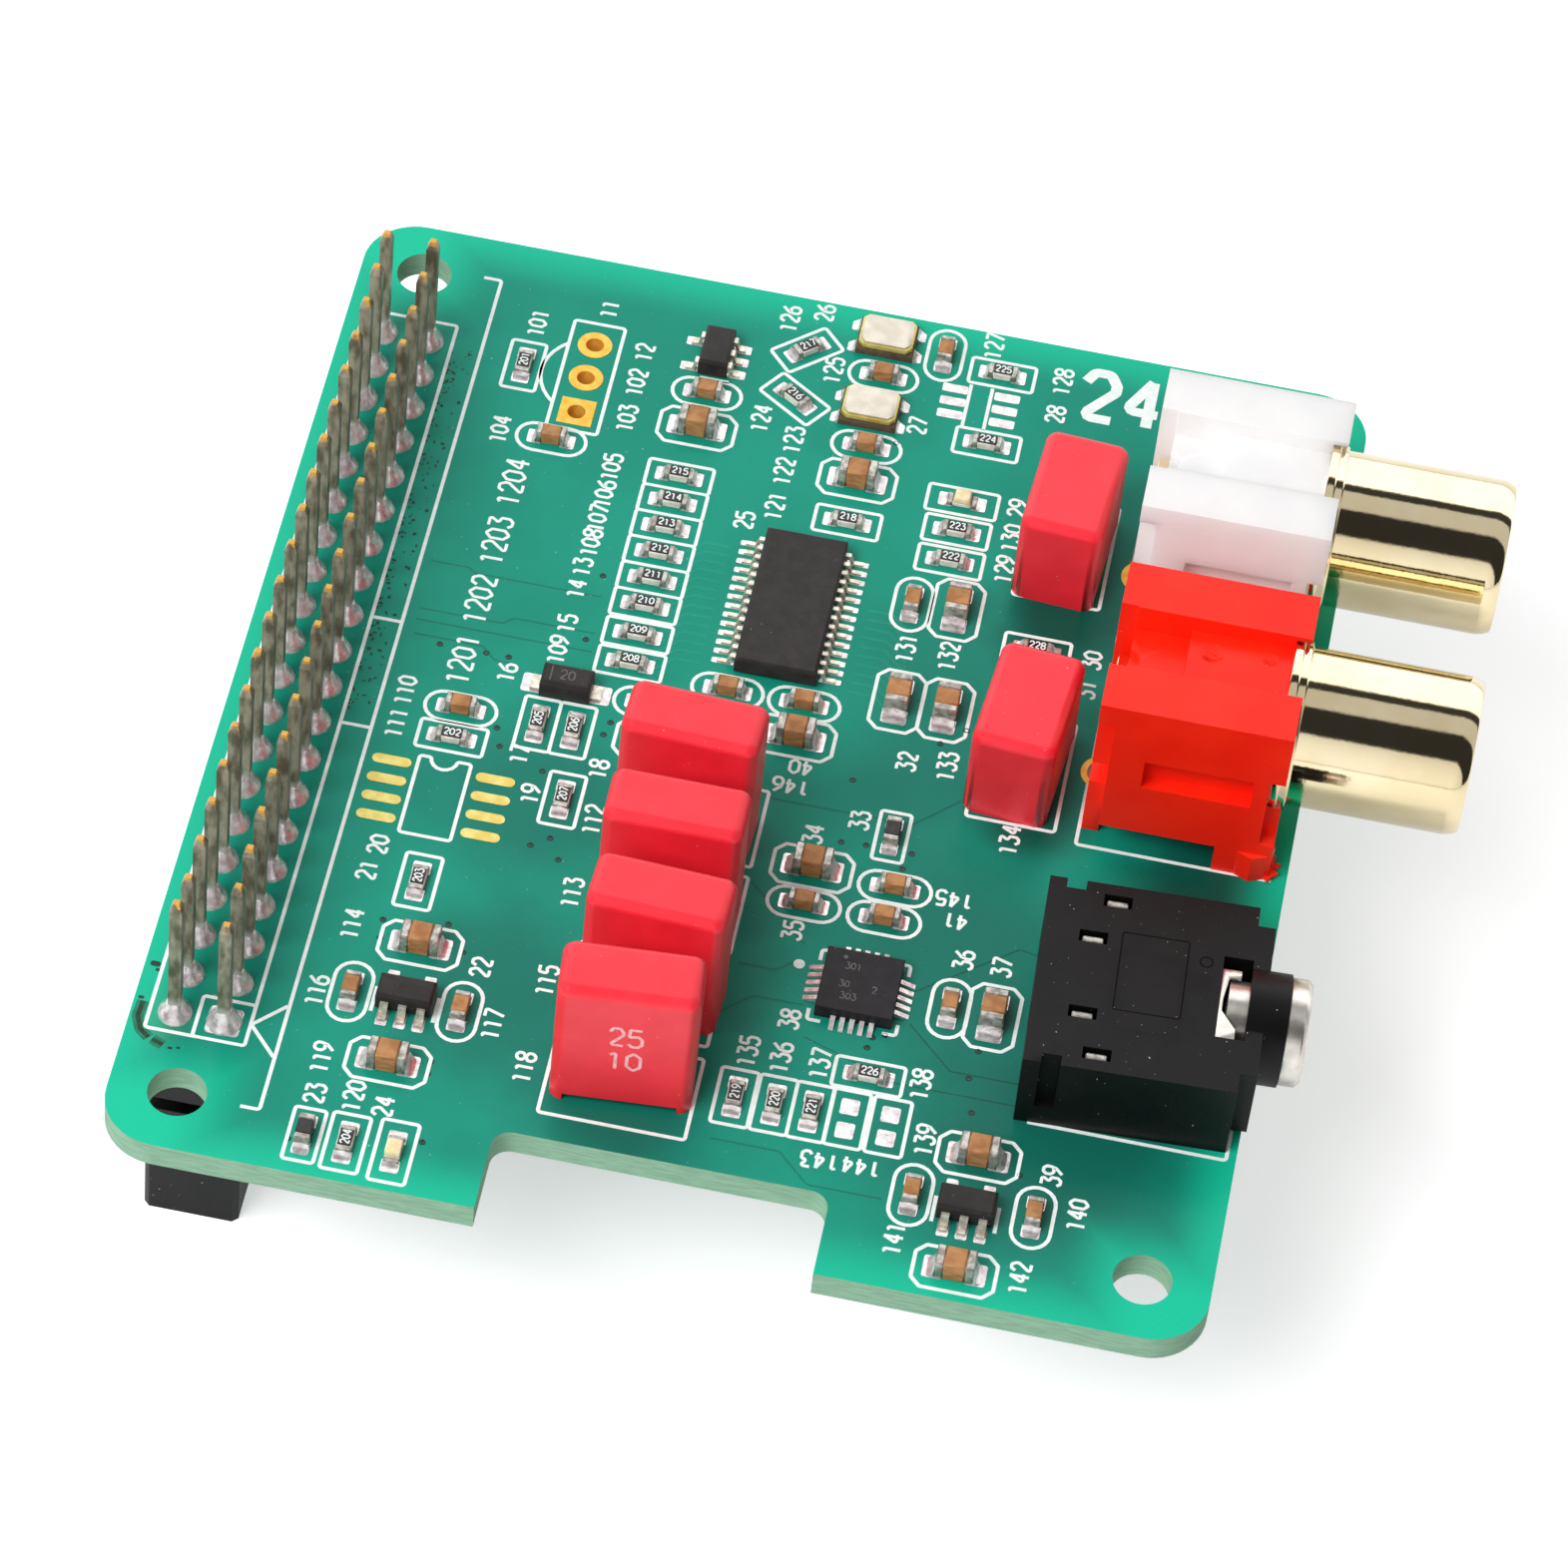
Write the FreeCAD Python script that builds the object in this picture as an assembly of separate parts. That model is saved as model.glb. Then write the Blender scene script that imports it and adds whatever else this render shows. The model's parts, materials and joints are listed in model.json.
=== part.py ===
import FreeCAD, Part
import math

# Stereo audio output board that plugs onto a single-board computer's 40-pin expansion header.
# Millimetres. Origin: middle of the four mounting holes, on the underside of the circuit board.
# +Z points up through the component side, +X to the audio connectors, +Y along the header.

# Circuit board
BOARD_WIDTH = 56.0
BOARD_DEPTH = 65.0
BOARD_THICKNESS = 1.6
BOARD_CORNER_R = 3.0
MOUNT_HOLE_R = 1.5
MOUNT_INSET = 3.5
NOTCH_MIDDLE_X = -0.05
NOTCH_WIDTH = 17.1
NOTCH_DEPTH = 5.0
NOTCH_CORNER_R = 1.0

# The places of parts below are drawn for a board of this size, and spread with the real one
PLACES_WIDTH = 56.0
PLACES_DEPTH = 65.0

# Stacking header, in line with the two left mounting holes
PIN_PITCH = 2.54
PIN_COLUMNS = 20
PIN_SIDE = 0.64
PIN_ABOVE_BOARD = 7.9
PIN_TIP_HEIGHT = 0.5
PIN_TIP_SIDE = 0.3
RAISED_PIN = 0
RAISED_PIN_LIFT = 1.0
HEADER_WIDTH = 5.0
SPACER_HEIGHT = 4.1
SPACER_GAP = 0.9
SOCKET_HEIGHT = 8.5
SOCKET_ENTRY_DEPTH = 5.0
SOCKET_EDGE = 0.3
PIN_FIT = 0.1
JOINT_R = 0.85
JOINT_HEIGHT = 1.1

# Phono sockets: moulded housing, plated shell, spring centre contact
PHONO_WHITE_Y = 16.75
PHONO_RED_Y = 2.75
PHONO_REAR_X = 17.0
PHONO_LENGTH = 10.0
PHONO_WIDTH = 10.0
PHONO_HEIGHT = 11.2
PHONO_AXIS_Z = 6.75
PHONO_UNDERSIDE = 1.85
PHONO_RIDGE_WIDTH = 3.0
PHONO_OVERHANG = 0.9
PHONO_OVERHANG_DEPTH = 1.3
PHONO_CHANNEL_DEPTH = 1.0
PHONO_POCKET_DEPTH = 1.75
PHONO_POCKET_LENGTH = 3.8
PHONO_GATE_R = 0.55
PHONO_FOOT_LENGTH = 3.0
PHONO_FOOT_WIDTH = 1.8
PHONO_PEG_R = 0.75
PHONO_BOSS_R = 1.1
PHONO_PEG_INSET_X = 1.0
PHONO_PEG_INSET_Y = 0.75
PHONO_REAR_WIDTH = 7.8
PHONO_REAR_SLOT = 4.2
PHONO_WINDOW_LOW = 3.9
PHONO_WINDOW_HIGH = 5.4
PHONO_CORNER_LOW = 2.7
PHONO_CORNER_HIGH = 7.6
PHONO_CORNER_DEPTH = 0.8
PHONO_CATCH_LENGTH = 5.7
PHONO_CATCH_REAR = 2.7
PHONO_CATCH_LOW = 5.4
PHONO_CATCH_HIGH = 7.4
PHONO_CATCH_DEPTH = 0.8
SHELL_R = 4.15
SHELL_WALL = 0.4
SHELL_REACH = 9.1
SHELL_LIP = 0.45
SHELL_LIP_DROP = 0.27
SHELL_FLANGE_R = 4.5
SHELL_FLANGE_THICKNESS = 0.45
SHELL_SHOULDER_R = 4.35
SHELL_SHOULDER_PROUD = 0.1
SHELL_LEG_WIDTH = 1.2
SLEEVE_SET_BACK = 0.6
CONTACT_BORE_R = 1.6
CONTACT_WALL = 0.35
CONTACT_SET_BACK = 1.6
CONTACT_REAR = 0.3
CONTACT_TAIL_WIDTH = 0.8
CONTACT_TAIL_THICKNESS = 0.4
PHONO_FIT = 0.1

# Headphone socket, set a little askew on the board
JACK_X = 21.75
JACK_Y = -14.5
JACK_TURN = 2.5
JACK_LENGTH = 10.8
JACK_WIDTH = 12.0
JACK_HEIGHT = 5.0
JACK_AXIS_Z = 2.9
JACK_FLANGE_THICKNESS = 0.9
JACK_FLANGE_WIDTH = 9.6
JACK_FLANGE_LIFT = 0.4
JACK_COLLAR_R = 2.9
JACK_COLLAR_LENGTH = 1.15
JACK_BORE_R = 1.8
JACK_BORE_END = 0.8
BUSH_R = 2.15
BUSH_DEPTH = 3.1
FERRULE_R = 2.75
FERRULE_LENGTH = 1.1
FERRULE_EDGE = 0.25
JACK_MOUTH_LENGTH = 1.5
JACK_MOUTH_WIDTH = 5.2
JACK_MOUTH_SHIFT = -0.08
JACK_WINDOW_LENGTH = 1.45
JACK_WINDOW_WIDTH = 0.75
JACK_OUTER_WINDOW = (-1.8, 4.95)
JACK_INNER_WINDOW = (-2.8, 2.45)
JACK_SIDE_SLOT_X = -4.0
JACK_SIDE_SLOT_WIDTH = 1.0
JACK_SIDE_SLOT_DEPTH = 0.6
JACK_SIDE_SLOT_FLOOR = 1.3
BLADE_WIDTH = 1.1
BLADE_THICKNESS = 0.4
BLADE_TOP_DROP = 0.2
SPRING_THICKNESS = 0.2
SPRING_TOP_DROP = 0.05
SPRING_WEB = 0.2
SPRING_TAB = 1.0
SPRING_NEAR_EDGE = -2.0
SPRING_GAP_NEAR = -0.9
SPRING_GAP_FAR = -0.1
SPRING_FAR_EDGE = 1.25
SPRING_FAR_INSET = 0.74

# Film capacitors: moulded box on two feet, two wires
FILM_LENGTH = 7.2
FILM_TALL_DEPTH = 3.5
FILM_TALL_HEIGHT = 8.8
FILM_LOW_DEPTH = 4.5
FILM_LOW_HEIGHT = 5.9
FILM_SIDE_BEVEL = 0.4
FILM_TOP_BEVEL = 0.35
FILM_FOOT_LENGTH = 0.7
FILM_FOOT_HEIGHT = 0.45
FILM_WIRE_PITCH = 5.0
FILM_WIRE_R = 0.3
FILM_TALL_PLACES = [(-3.1, -5.85, -2.5), (-2.9, -11.65, 0.0), (-2.6, -17.35, -2.5), (-3.0, -22.9, 4.5)]
FILM_LOW_PLACES = [(13.2, 17.3, 86.3), (13.2, 2.0, 85.0)]

# Gull-wing leads: where along its reach a lead bends down and lands
LEAD_KNEE_SHARE = 0.3
LEAD_ANKLE_SHARE = 0.5

# Converter chip: 28 gull-wing leads
CONVERTER_PLACE = (-0.4, 9.7)
CONVERTER_WIDTH = 4.4
CONVERTER_LENGTH = 9.7
CONVERTER_TOP = 1.1
CONVERTER_STAND_OFF = 0.1
CONVERTER_BEVEL = 0.15
CONVERTER_LEADS_A_SIDE = 14
CONVERTER_PITCH = 0.65
CONVERTER_LEAD_WIDTH = 0.24
CONVERTER_LEAD_REACH = 1.0
CONVERTER_LEAD_THICKNESS = 0.13

# Headphone amplifier chip: flat no-lead package with solder wicked out on each side
AMPLIFIER_PLACE = (7.63, -14.63)
AMPLIFIER_SIDE = 4.0
AMPLIFIER_TOP = 0.85
AMPLIFIER_PADS_A_SIDE = 5
AMPLIFIER_PITCH = 0.5
AMPLIFIER_PAD_WIDTH = 0.26
AMPLIFIER_PAD_REACH = 0.75
AMPLIFIER_PAD_HEIGHT = 0.3
AMPLIFIER_PAD_EDGE = 0.06

# Voltage regulators: five-lead packages, three leads on one side and two on the other
REGULATOR_PLACES = [(-14.65, -20.7, 0.0), (15.25, -26.95, 0.0), (-7.7, 26.8, 90.0)]
REGULATOR_LENGTH = 2.9
REGULATOR_DEPTH = 1.6
REGULATOR_TOP = 1.15
REGULATOR_STAND_OFF = 0.1
REGULATOR_BEVEL = 0.15
REGULATOR_PITCH = 0.95
REGULATOR_LEAD_WIDTH = 0.42
REGULATOR_LEAD_REACH = 0.7
REGULATOR_LEAD_THICKNESS = 0.15

# Rectifier diode: flat lead at each end
DIODE_PLACE = (-10.9, 1.55)
DIODE_LENGTH = 2.7
DIODE_DEPTH = 1.6
DIODE_TOP = 1.15
DIODE_BEVEL = 0.2
DIODE_LEAD_WIDTH = 0.9
DIODE_LEAD_REACH = 0.55
DIODE_LEAD_THICKNESS = 0.2

# Clock oscillators: ceramic base, gilt seal ring, metal lid
OSCILLATOR_PLACES = [(1.2, 30.35), (1.2, 24.95)]
OSCILLATOR_LENGTH = 3.2
OSCILLATOR_DEPTH = 2.5
OSCILLATOR_BASE = 0.45
OSCILLATOR_RING = 0.35
OSCILLATOR_RING_INSET = 0.1
OSCILLATOR_LID = 0.1
OSCILLATOR_LID_INSET = 0.2
OSCILLATOR_CORNER = 0.3

# Chip resistors: ceramic block, dark glaze on top, tinned ends
RESISTOR_LENGTH = 1.6
RESISTOR_WIDTH = 0.8
RESISTOR_HEIGHT = 0.45
RESISTOR_END = 0.3
RESISTOR_GLAZE = 0.06
RESISTOR_GLAZE_MARGIN = 0.06
RESISTOR_COLUMN_X = -8.0
RESISTOR_COLUMN_TOP_Y = 17.75
RESISTOR_COLUMN_PITCH = 1.9
RESISTOR_COLUMN_COUNT = 6
RESISTOR_PLACES = [
    (-8.0, 6.15, 0.0), (-8.0, 4.1, 0.0), (-17.8, 23.65, 90.0), (-2.95, 28.65, 42.0),
    (-2.95, 24.9, -34.0), (1.4, 16.75, 0.0), (7.8, 29.5, 0.0), (7.8, 24.2, 0.0),
    (7.25, 17.55, 0.0), (7.25, 15.35, 0.0), (12.8, 10.25, 0.0), (12.8, 8.25, 0.0),
    (-16.05, -3.15, 0.0), (-15.7, -12.95, 90.0), (-11.9, -1.15, 90.0), (-10.0, -1.15, 90.0),
    (-9.6, -5.85, 90.0), (-15.65, -30.1, 90.0), (9.05, -19.8, 0.0), (2.7, -22.7, 90.0),
    (4.7, -22.7, 90.0), (6.6, -22.7, 90.0),
]

# Chip capacitors in two sizes: fired ceramic block with tinned ends
SMALL_CAPACITOR = (1.6, 0.8, 0.8)
SMALL_CAPACITOR_END = 0.3
SMALL_CAPACITOR_PLACES = [
    (-15.25, 18.7, 0.0), (-7.7, 24.1, 0.0), (1.45, 27.75, 0.0), (1.45, 22.4, 0.0),
    (4.5, 30.15, 90.0), (5.8, 11.85, 90.0), (-16.0, -1.1, 0.0), (-17.5, -20.75, 90.0),
    (-11.85, -20.7, 90.0), (-2.65, 3.55, 0.0), (1.45, 3.6, 0.0), (-6.45, 1.6, 0.0),
    (3.85, -9.65, 0.0), (8.25, -7.5, 0.0), (8.05, -9.65, 0.0), (12.3, -14.55, 90.0),
    (12.4, -26.6, 90.0), (18.6, -26.55, 90.0),
]
LARGE_CAPACITOR = (2.0, 1.25, 1.25)
LARGE_CAPACITOR_END = 0.45
LARGE_CAPACITOR_PLACES = [
    (-7.75, 21.45, 0.0), (1.4, 19.85, 0.0), (8.2, 12.05, 90.0), (6.2, 5.0, 90.0),
    (8.8, 5.0, 90.0), (-14.7, -17.0, 0.0), (-14.7, -24.7, 0.0), (1.4, 1.2, 0.0),
    (3.85, -7.2, 0.0), (14.55, -14.6, 90.0), (15.3, -23.5, 0.0), (15.3, -30.7, 0.0),
    (-5.7, -0.9, 0.0),
]

# Ferrite beads and status lamps
BEAD = (1.6, 0.8, 0.8)
BEAD_END = 0.35
BEAD_PLACES = [(-17.75, -30.1, 90.0), (7.5, -4.15, 90.0)]
LAMP = (1.6, 0.8, 0.25)
LAMP_END = 0.3
LAMP_LENS_HEIGHT = 0.4
LAMP_LENS_DRAFT = 0.1
LAMP_PLACES = [(-13.2, -30.1, 90.0), (7.2, 19.75, 0.0)]

# Empty row of three plated holes for a remote-control receiver
SPARE_ROW_PLACE = (-14.3, 23.55)
SPARE_ROW_PITCH = 2.54
SPARE_HOLE_R = 0.55

# Drilled holes and tails through the board
LEAD_HOLE_FIT = 0.1
LEAD_SIDES = 8
QUARTER_TURN = 90.0
TAIL_BELOW_BOARD = 1.5


def block(length, depth, height, x=0.0, y=0.0, z=0.0):
    """A box centred on (x, y), standing on height z."""
    return Part.makeBox(length, depth, height, FreeCAD.Vector(x - length / 2, y - depth / 2, z))


def span(x0, x1, y0, y1, z0, z1):
    """A box between two corners."""
    return Part.makeBox(x1 - x0, y1 - y0, z1 - z0, FreeCAD.Vector(x0, y0, z0))


def rod_x(radius, x0, x1, z, y=0.0):
    """A round bar along X."""
    return Part.makeCylinder(radius, x1 - x0, FreeCAD.Vector(x0, y, z), FreeCAD.Vector(1, 0, 0))


def rod_z(radius, x, y, z0, z1):
    """A round bar along Z."""
    return Part.makeCylinder(radius, z1 - z0, FreeCAD.Vector(x, y, z0))


def polygon_face(corners):
    """A flat face with the given corners."""
    return Part.Face(Part.makePolygon(corners + corners[:1]))


def bar_z(radius, x, y, z0, z1):
    """A slim many-sided bar along Z, for wires and the small holes that they pass through."""
    turn = 2 * math.pi / LEAD_SIDES
    corners = [
        FreeCAD.Vector(x + radius * math.cos(step * turn), y + radius * math.sin(step * turn), z0)
        for step in range(LEAD_SIDES)
    ]
    return polygon_face(corners).extrude(FreeCAD.Vector(0, 0, z1 - z0))


def frustum(low, high):
    """A flat-sided solid between a lower and an upper ring of corners, which may repeat."""
    faces = [polygon_face(ring_corners(low)), polygon_face(ring_corners(high))]
    for here in range(len(low)):
        after = (here + 1) % len(low)
        faces.append(polygon_face(ring_corners([low[here], low[after], high[after], high[here]])))
    return Part.makeSolid(Part.makeShell(faces))


def ring_corners(corners):
    """The corners without those that repeat the one before."""
    return [corner for step, corner in enumerate(corners) if not corner.isEqual(corners[step - 1], 1e-6)]


def square_ring(side, height):
    """The four corners of a level square about the Z axis."""
    half = side / 2
    return [FreeCAD.Vector(x * half, y * half, height) for x, y in ((-1, -1), (1, -1), (1, 1), (-1, 1))]


def prism_y(points, width, y=0.0):
    """A solid with a profile in XZ, centred on y."""
    corners = [FreeCAD.Vector(px, y - width / 2, pz) for px, pz in points]
    return polygon_face(corners).extrude(FreeCAD.Vector(0, width, 0))


def plate(points, z0, z1):
    """A level plate with an outline in XY."""
    corners = [FreeCAD.Vector(px, py, z0) for px, py in points]
    return polygon_face(corners).extrude(FreeCAD.Vector(0, 0, z1 - z0))


def turned_x(profile, axis_z):
    """A solid of revolution about an axis along X, from (x, radius) points."""
    corners = [FreeCAD.Vector(x, 0.0, axis_z + radius) for x, radius in profile]
    return polygon_face(corners).revolve(FreeCAD.Vector(0, 0, axis_z), FreeCAD.Vector(1, 0, 0), 360)


def upright_edges(shape):
    """The edges of a block that stand along Z."""
    return [edge for edge in shape.Edges if abs(edge.tangentAt(edge.FirstParameter).z) > 0.9]


def edges_above(shape, height):
    """The edges of a block that lie wholly above a height."""
    return [edge for edge in shape.Edges if edge.BoundBox.ZMin > height]


def placed(shape, x, y, turn=0.0, z=0.0):
    """A copy turned about its own upright and then moved."""
    where = FreeCAD.Placement(FreeCAD.Vector(x, y, z), FreeCAD.Rotation(FreeCAD.Vector(0, 0, 1), turn))
    copy = shape.copy()
    copy.Placement = where.multiply(shape.Placement)
    return copy


def spread(x, y):
    """A drawn place on the board at its real size."""
    return x * BOARD_WIDTH / PLACES_WIDTH, y * BOARD_DEPTH / PLACES_DEPTH


def on_board(shape, x, y, turn=0.0):
    """A copy of a shape made about its own foot, turned and set down at a drawn place."""
    return placed(shape, *spread(x, y), turn, BOARD_THICKNESS)


def swung(local_x, local_y, turn):
    """A point of a part after its turn about its own upright."""
    angle = math.radians(turn)
    x = local_x * math.cos(angle) - local_y * math.sin(angle)
    y = local_x * math.sin(angle) + local_y * math.cos(angle)
    return x, y


def board_point(x, y, turn, local_x, local_y):
    """Where a point of a part set down at a drawn place lands on the board."""
    foot_x, foot_y = spread(x, y)
    reach_x, reach_y = swung(local_x, local_y, turn)
    return foot_x + reach_x, foot_y + reach_y


def export(name, solids):
    """Writes one node: a single solid, or like pieces as a group of separate solids."""
    shape = solids[0] if len(solids) == 1 else Part.makeCompound(solids)
    shape.exportStep("parts/" + name + ".step")


def at_places(shapes, places):
    """Copies of some shapes set down at every place."""
    return [on_board(shape, *place) for place in places for shape in shapes]


# Places that follow from the sizes above
HEADER_X = MOUNT_INSET - BOARD_WIDTH / 2
HEADER_LENGTH = PIN_COLUMNS * PIN_PITCH
PIN_PLACES = [
    (HEADER_X + side * PIN_PITCH / 2, (column - (PIN_COLUMNS - 1) / 2) * PIN_PITCH)
    for column in range(PIN_COLUMNS) for side in (-1, 1)
]
PIN_HOLE = PIN_SIDE + 2 * PIN_FIT
TAIL_END = -BOARD_THICKNESS - TAIL_BELOW_BOARD
PHONO_HALF = PHONO_WIDTH / 2
CHANNEL_WIDTH = PHONO_WIDTH - 2 * PHONO_RIDGE_WIDTH
FLANGE_X = PHONO_LENGTH - PHONO_CORNER_DEPTH
PEG_PLACES = [
    (PHONO_LENGTH - PHONO_PEG_INSET_X, side * (PHONO_HALF - PHONO_PEG_INSET_Y)) for side in (-1, 1)
]
CONTACT_R = CONTACT_BORE_R + CONTACT_WALL
TAIL_X = CONTACT_REAR + CONTACT_TAIL_THICKNESS / 2
LEG_X = FLANGE_X + SHELL_FLANGE_THICKNESS / 2
BLADE_PLACES = [
    (x, side * y) for x, y in (JACK_OUTER_WINDOW, JACK_INNER_WINDOW) for side in (-1, 1)
]
JACK_FRONT = JACK_LENGTH / 2
COLLAR_FRONT = JACK_FRONT + JACK_FLANGE_THICKNESS + JACK_COLLAR_LENGTH
FILM_PLACES = FILM_TALL_PLACES + FILM_LOW_PLACES


def lead_holes():
    """Drilled holes for every wire, blade, peg and tail: (radius, x, y)."""
    holes = []
    for place in FILM_PLACES:
        for side in (-1, 1):
            holes.append((FILM_WIRE_R + LEAD_HOLE_FIT, *board_point(*place, side * FILM_WIRE_PITCH / 2, 0.0)))
    tail_r = math.hypot(CONTACT_TAIL_WIDTH, CONTACT_TAIL_THICKNESS) / 2 + LEAD_HOLE_FIT
    leg_r = math.hypot(SHELL_LEG_WIDTH, SHELL_FLANGE_THICKNESS) / 2 + LEAD_HOLE_FIT
    for axis_y in (PHONO_WHITE_Y, PHONO_RED_Y):
        place = (PHONO_REAR_X, axis_y, 0.0)
        holes.append((tail_r, *board_point(*place, TAIL_X, 0.0)))
        holes.append((leg_r, *board_point(*place, LEG_X, 0.0)))
        for x, y in PEG_PLACES:
            holes.append((PHONO_PEG_R + LEAD_HOLE_FIT, *board_point(*place, x, y)))
    blade_r = math.hypot(BLADE_WIDTH, BLADE_THICKNESS) / 2 + LEAD_HOLE_FIT
    for x, y in BLADE_PLACES:
        holes.append((blade_r, *board_point(JACK_X, JACK_Y, JACK_TURN, x, y)))
    return holes


def circuit_board():
    """The glass-fibre board: rounded outline, edge notch, mounting holes and drilled holes."""
    board = block(BOARD_WIDTH, BOARD_DEPTH, BOARD_THICKNESS)
    board = board.makeFillet(BOARD_CORNER_R, upright_edges(board))
    near = -BOARD_DEPTH / 2
    notch_depth = NOTCH_DEPTH + NOTCH_CORNER_R
    notch = block(NOTCH_WIDTH, notch_depth, BOARD_THICKNESS, NOTCH_MIDDLE_X,
                  near + NOTCH_DEPTH - notch_depth / 2)
    inner = [edge for edge in upright_edges(notch) if edge.CenterOfMass.y > near]
    cuts = [notch.makeFillet(NOTCH_CORNER_R, inner)]
    for side_x in (-1, 1):
        for side_y in (-1, 1):
            x = side_x * (BOARD_WIDTH / 2 - MOUNT_INSET)
            y = side_y * (BOARD_DEPTH / 2 - MOUNT_INSET)
            cuts.append(rod_z(MOUNT_HOLE_R, x, y, 0.0, BOARD_THICKNESS))
    spare_x, spare_y = spread(*SPARE_ROW_PLACE)
    for step in (-1, 0, 1):
        cuts.append(rod_z(SPARE_HOLE_R, spare_x, spare_y + step * SPARE_ROW_PITCH, 0.0, BOARD_THICKNESS))
    cuts += [block(PIN_HOLE, PIN_HOLE, BOARD_THICKNESS, x, y) for x, y in PIN_PLACES]
    cuts += [bar_z(radius, x, y, 0.0, BOARD_THICKNESS) for radius, x, y in lead_holes()]
    return board.cut(cuts)


def header_strip(bottom, top):
    """A black moulded strip of the header, pierced for every pin."""
    strip = block(HEADER_WIDTH, HEADER_LENGTH, top - bottom, HEADER_X, 0.0, bottom)
    strip = strip.makeChamfer(SOCKET_EDGE, upright_edges(strip))
    return strip.cut([block(PIN_HOLE, PIN_HOLE, top - bottom, x, y, bottom) for x, y in PIN_PLACES])


def header_pin(bottom):
    """A square pin with a tapered tip, from inside the socket to well above the board."""
    top = BOARD_THICKNESS + PIN_ABOVE_BOARD
    shoulder = top - PIN_TIP_HEIGHT
    shank = block(PIN_SIDE, PIN_SIDE, shoulder - bottom, 0.0, 0.0, bottom)
    tip = frustum(square_ring(PIN_SIDE, shoulder), square_ring(PIN_TIP_SIDE, top))
    return shank.fuse(tip).removeSplitter()


def header_joint():
    """A cone of solder with eight sides that climbs from the pad up the faces of a header pin."""
    half = PIN_SIDE / 2
    foot = []
    collar = []
    for step in range(LEAD_SIDES):
        angle = (step + 0.5) * 2 * math.pi / LEAD_SIDES
        across = math.cos(angle)
        along = math.sin(angle)
        foot.append(FreeCAD.Vector(JOINT_R * across, JOINT_R * along, 0.0))
        collar.append(FreeCAD.Vector(math.copysign(half, across), math.copysign(half, along), JOINT_HEIGHT))
    return frustum(foot, collar).cut(block(PIN_SIDE, PIN_SIDE, JOINT_HEIGHT))


def phono_housing():
    """The moulded body of a phono socket, from its rear face at x = 0 to its front at full length."""
    half = PHONO_HALF
    top = PHONO_HEIGHT
    channel = CHANNEL_WIDTH / 2
    body = span(PHONO_OVERHANG, PHONO_LENGTH, -half, half, PHONO_UNDERSIDE, top)
    rear = span(0.0, PHONO_OVERHANG, -PHONO_REAR_WIDTH / 2, PHONO_REAR_WIDTH / 2, 0.0,
                top - PHONO_OVERHANG_DEPTH)
    adds = [rear]
    cuts = [
        span(0.0, PHONO_LENGTH, -channel, channel, top - PHONO_CHANNEL_DEPTH, top),
        span(0.0, PHONO_POCKET_LENGTH, -channel, channel, top - PHONO_POCKET_DEPTH, top),
        span(0.0, PHONO_OVERHANG, -PHONO_REAR_SLOT / 2, PHONO_REAR_SLOT / 2, 0.0, top),
        span(0.0, PHONO_OVERHANG, -half, half, PHONO_WINDOW_LOW, PHONO_WINDOW_HIGH),
        rod_z(PHONO_GATE_R, PHONO_OVERHANG, 0.0, top - PHONO_POCKET_DEPTH - PHONO_GATE_R, top),
    ]
    for side in (-1, 1):
        inner, outer = sorted((side * channel, side * half))
        adds.append(span(0.0, PHONO_OVERHANG, inner, outer, top - PHONO_OVERHANG_DEPTH, top))
        inner, outer = sorted((side * (half - PHONO_FOOT_WIDTH), side * half))
        adds.append(span(PHONO_LENGTH - PHONO_FOOT_LENGTH, PHONO_LENGTH, inner, outer, 0.0,
                         PHONO_UNDERSIDE))
        inner, outer = sorted((side * (half - PHONO_CORNER_DEPTH), side * half))
        cuts.append(span(FLANGE_X, PHONO_LENGTH, inner, outer, PHONO_CORNER_LOW, PHONO_CORNER_HIGH))
        inner, outer = sorted((side * (half - PHONO_CATCH_DEPTH), side * half))
        cuts.append(span(PHONO_CATCH_REAR, PHONO_CATCH_REAR + PHONO_CATCH_LENGTH, inner, outer,
                         PHONO_CATCH_LOW, PHONO_CATCH_HIGH))
    adds += [bar_z(PHONO_PEG_R, x, y, TAIL_END, PHONO_UNDERSIDE) for x, y in PEG_PLACES]
    adds += [bar_z(PHONO_BOSS_R, x, y, 0.0, PHONO_UNDERSIDE) for x, y in PEG_PLACES]
    cuts += [
        rod_x(SHELL_FLANGE_R + PHONO_FIT, FLANGE_X, PHONO_LENGTH, PHONO_AXIS_Z),
        span(FLANGE_X, PHONO_LENGTH, -SHELL_LEG_WIDTH / 2 - PHONO_FIT, SHELL_LEG_WIDTH / 2 + PHONO_FIT,
             PHONO_UNDERSIDE, PHONO_AXIS_Z),
    ]
    housing = body.fuse(adds).cut(cuts)
    sleeve_r = SHELL_R - SHELL_WALL - PHONO_FIT
    sleeve_end = PHONO_LENGTH + SHELL_REACH - SLEEVE_SET_BACK
    housing = housing.fuse(rod_x(sleeve_r, FLANGE_X, sleeve_end, PHONO_AXIS_Z))
    return housing.cut(rod_x(CONTACT_R + PHONO_FIT, 0.0, sleeve_end, PHONO_AXIS_Z)).removeSplitter()


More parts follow.
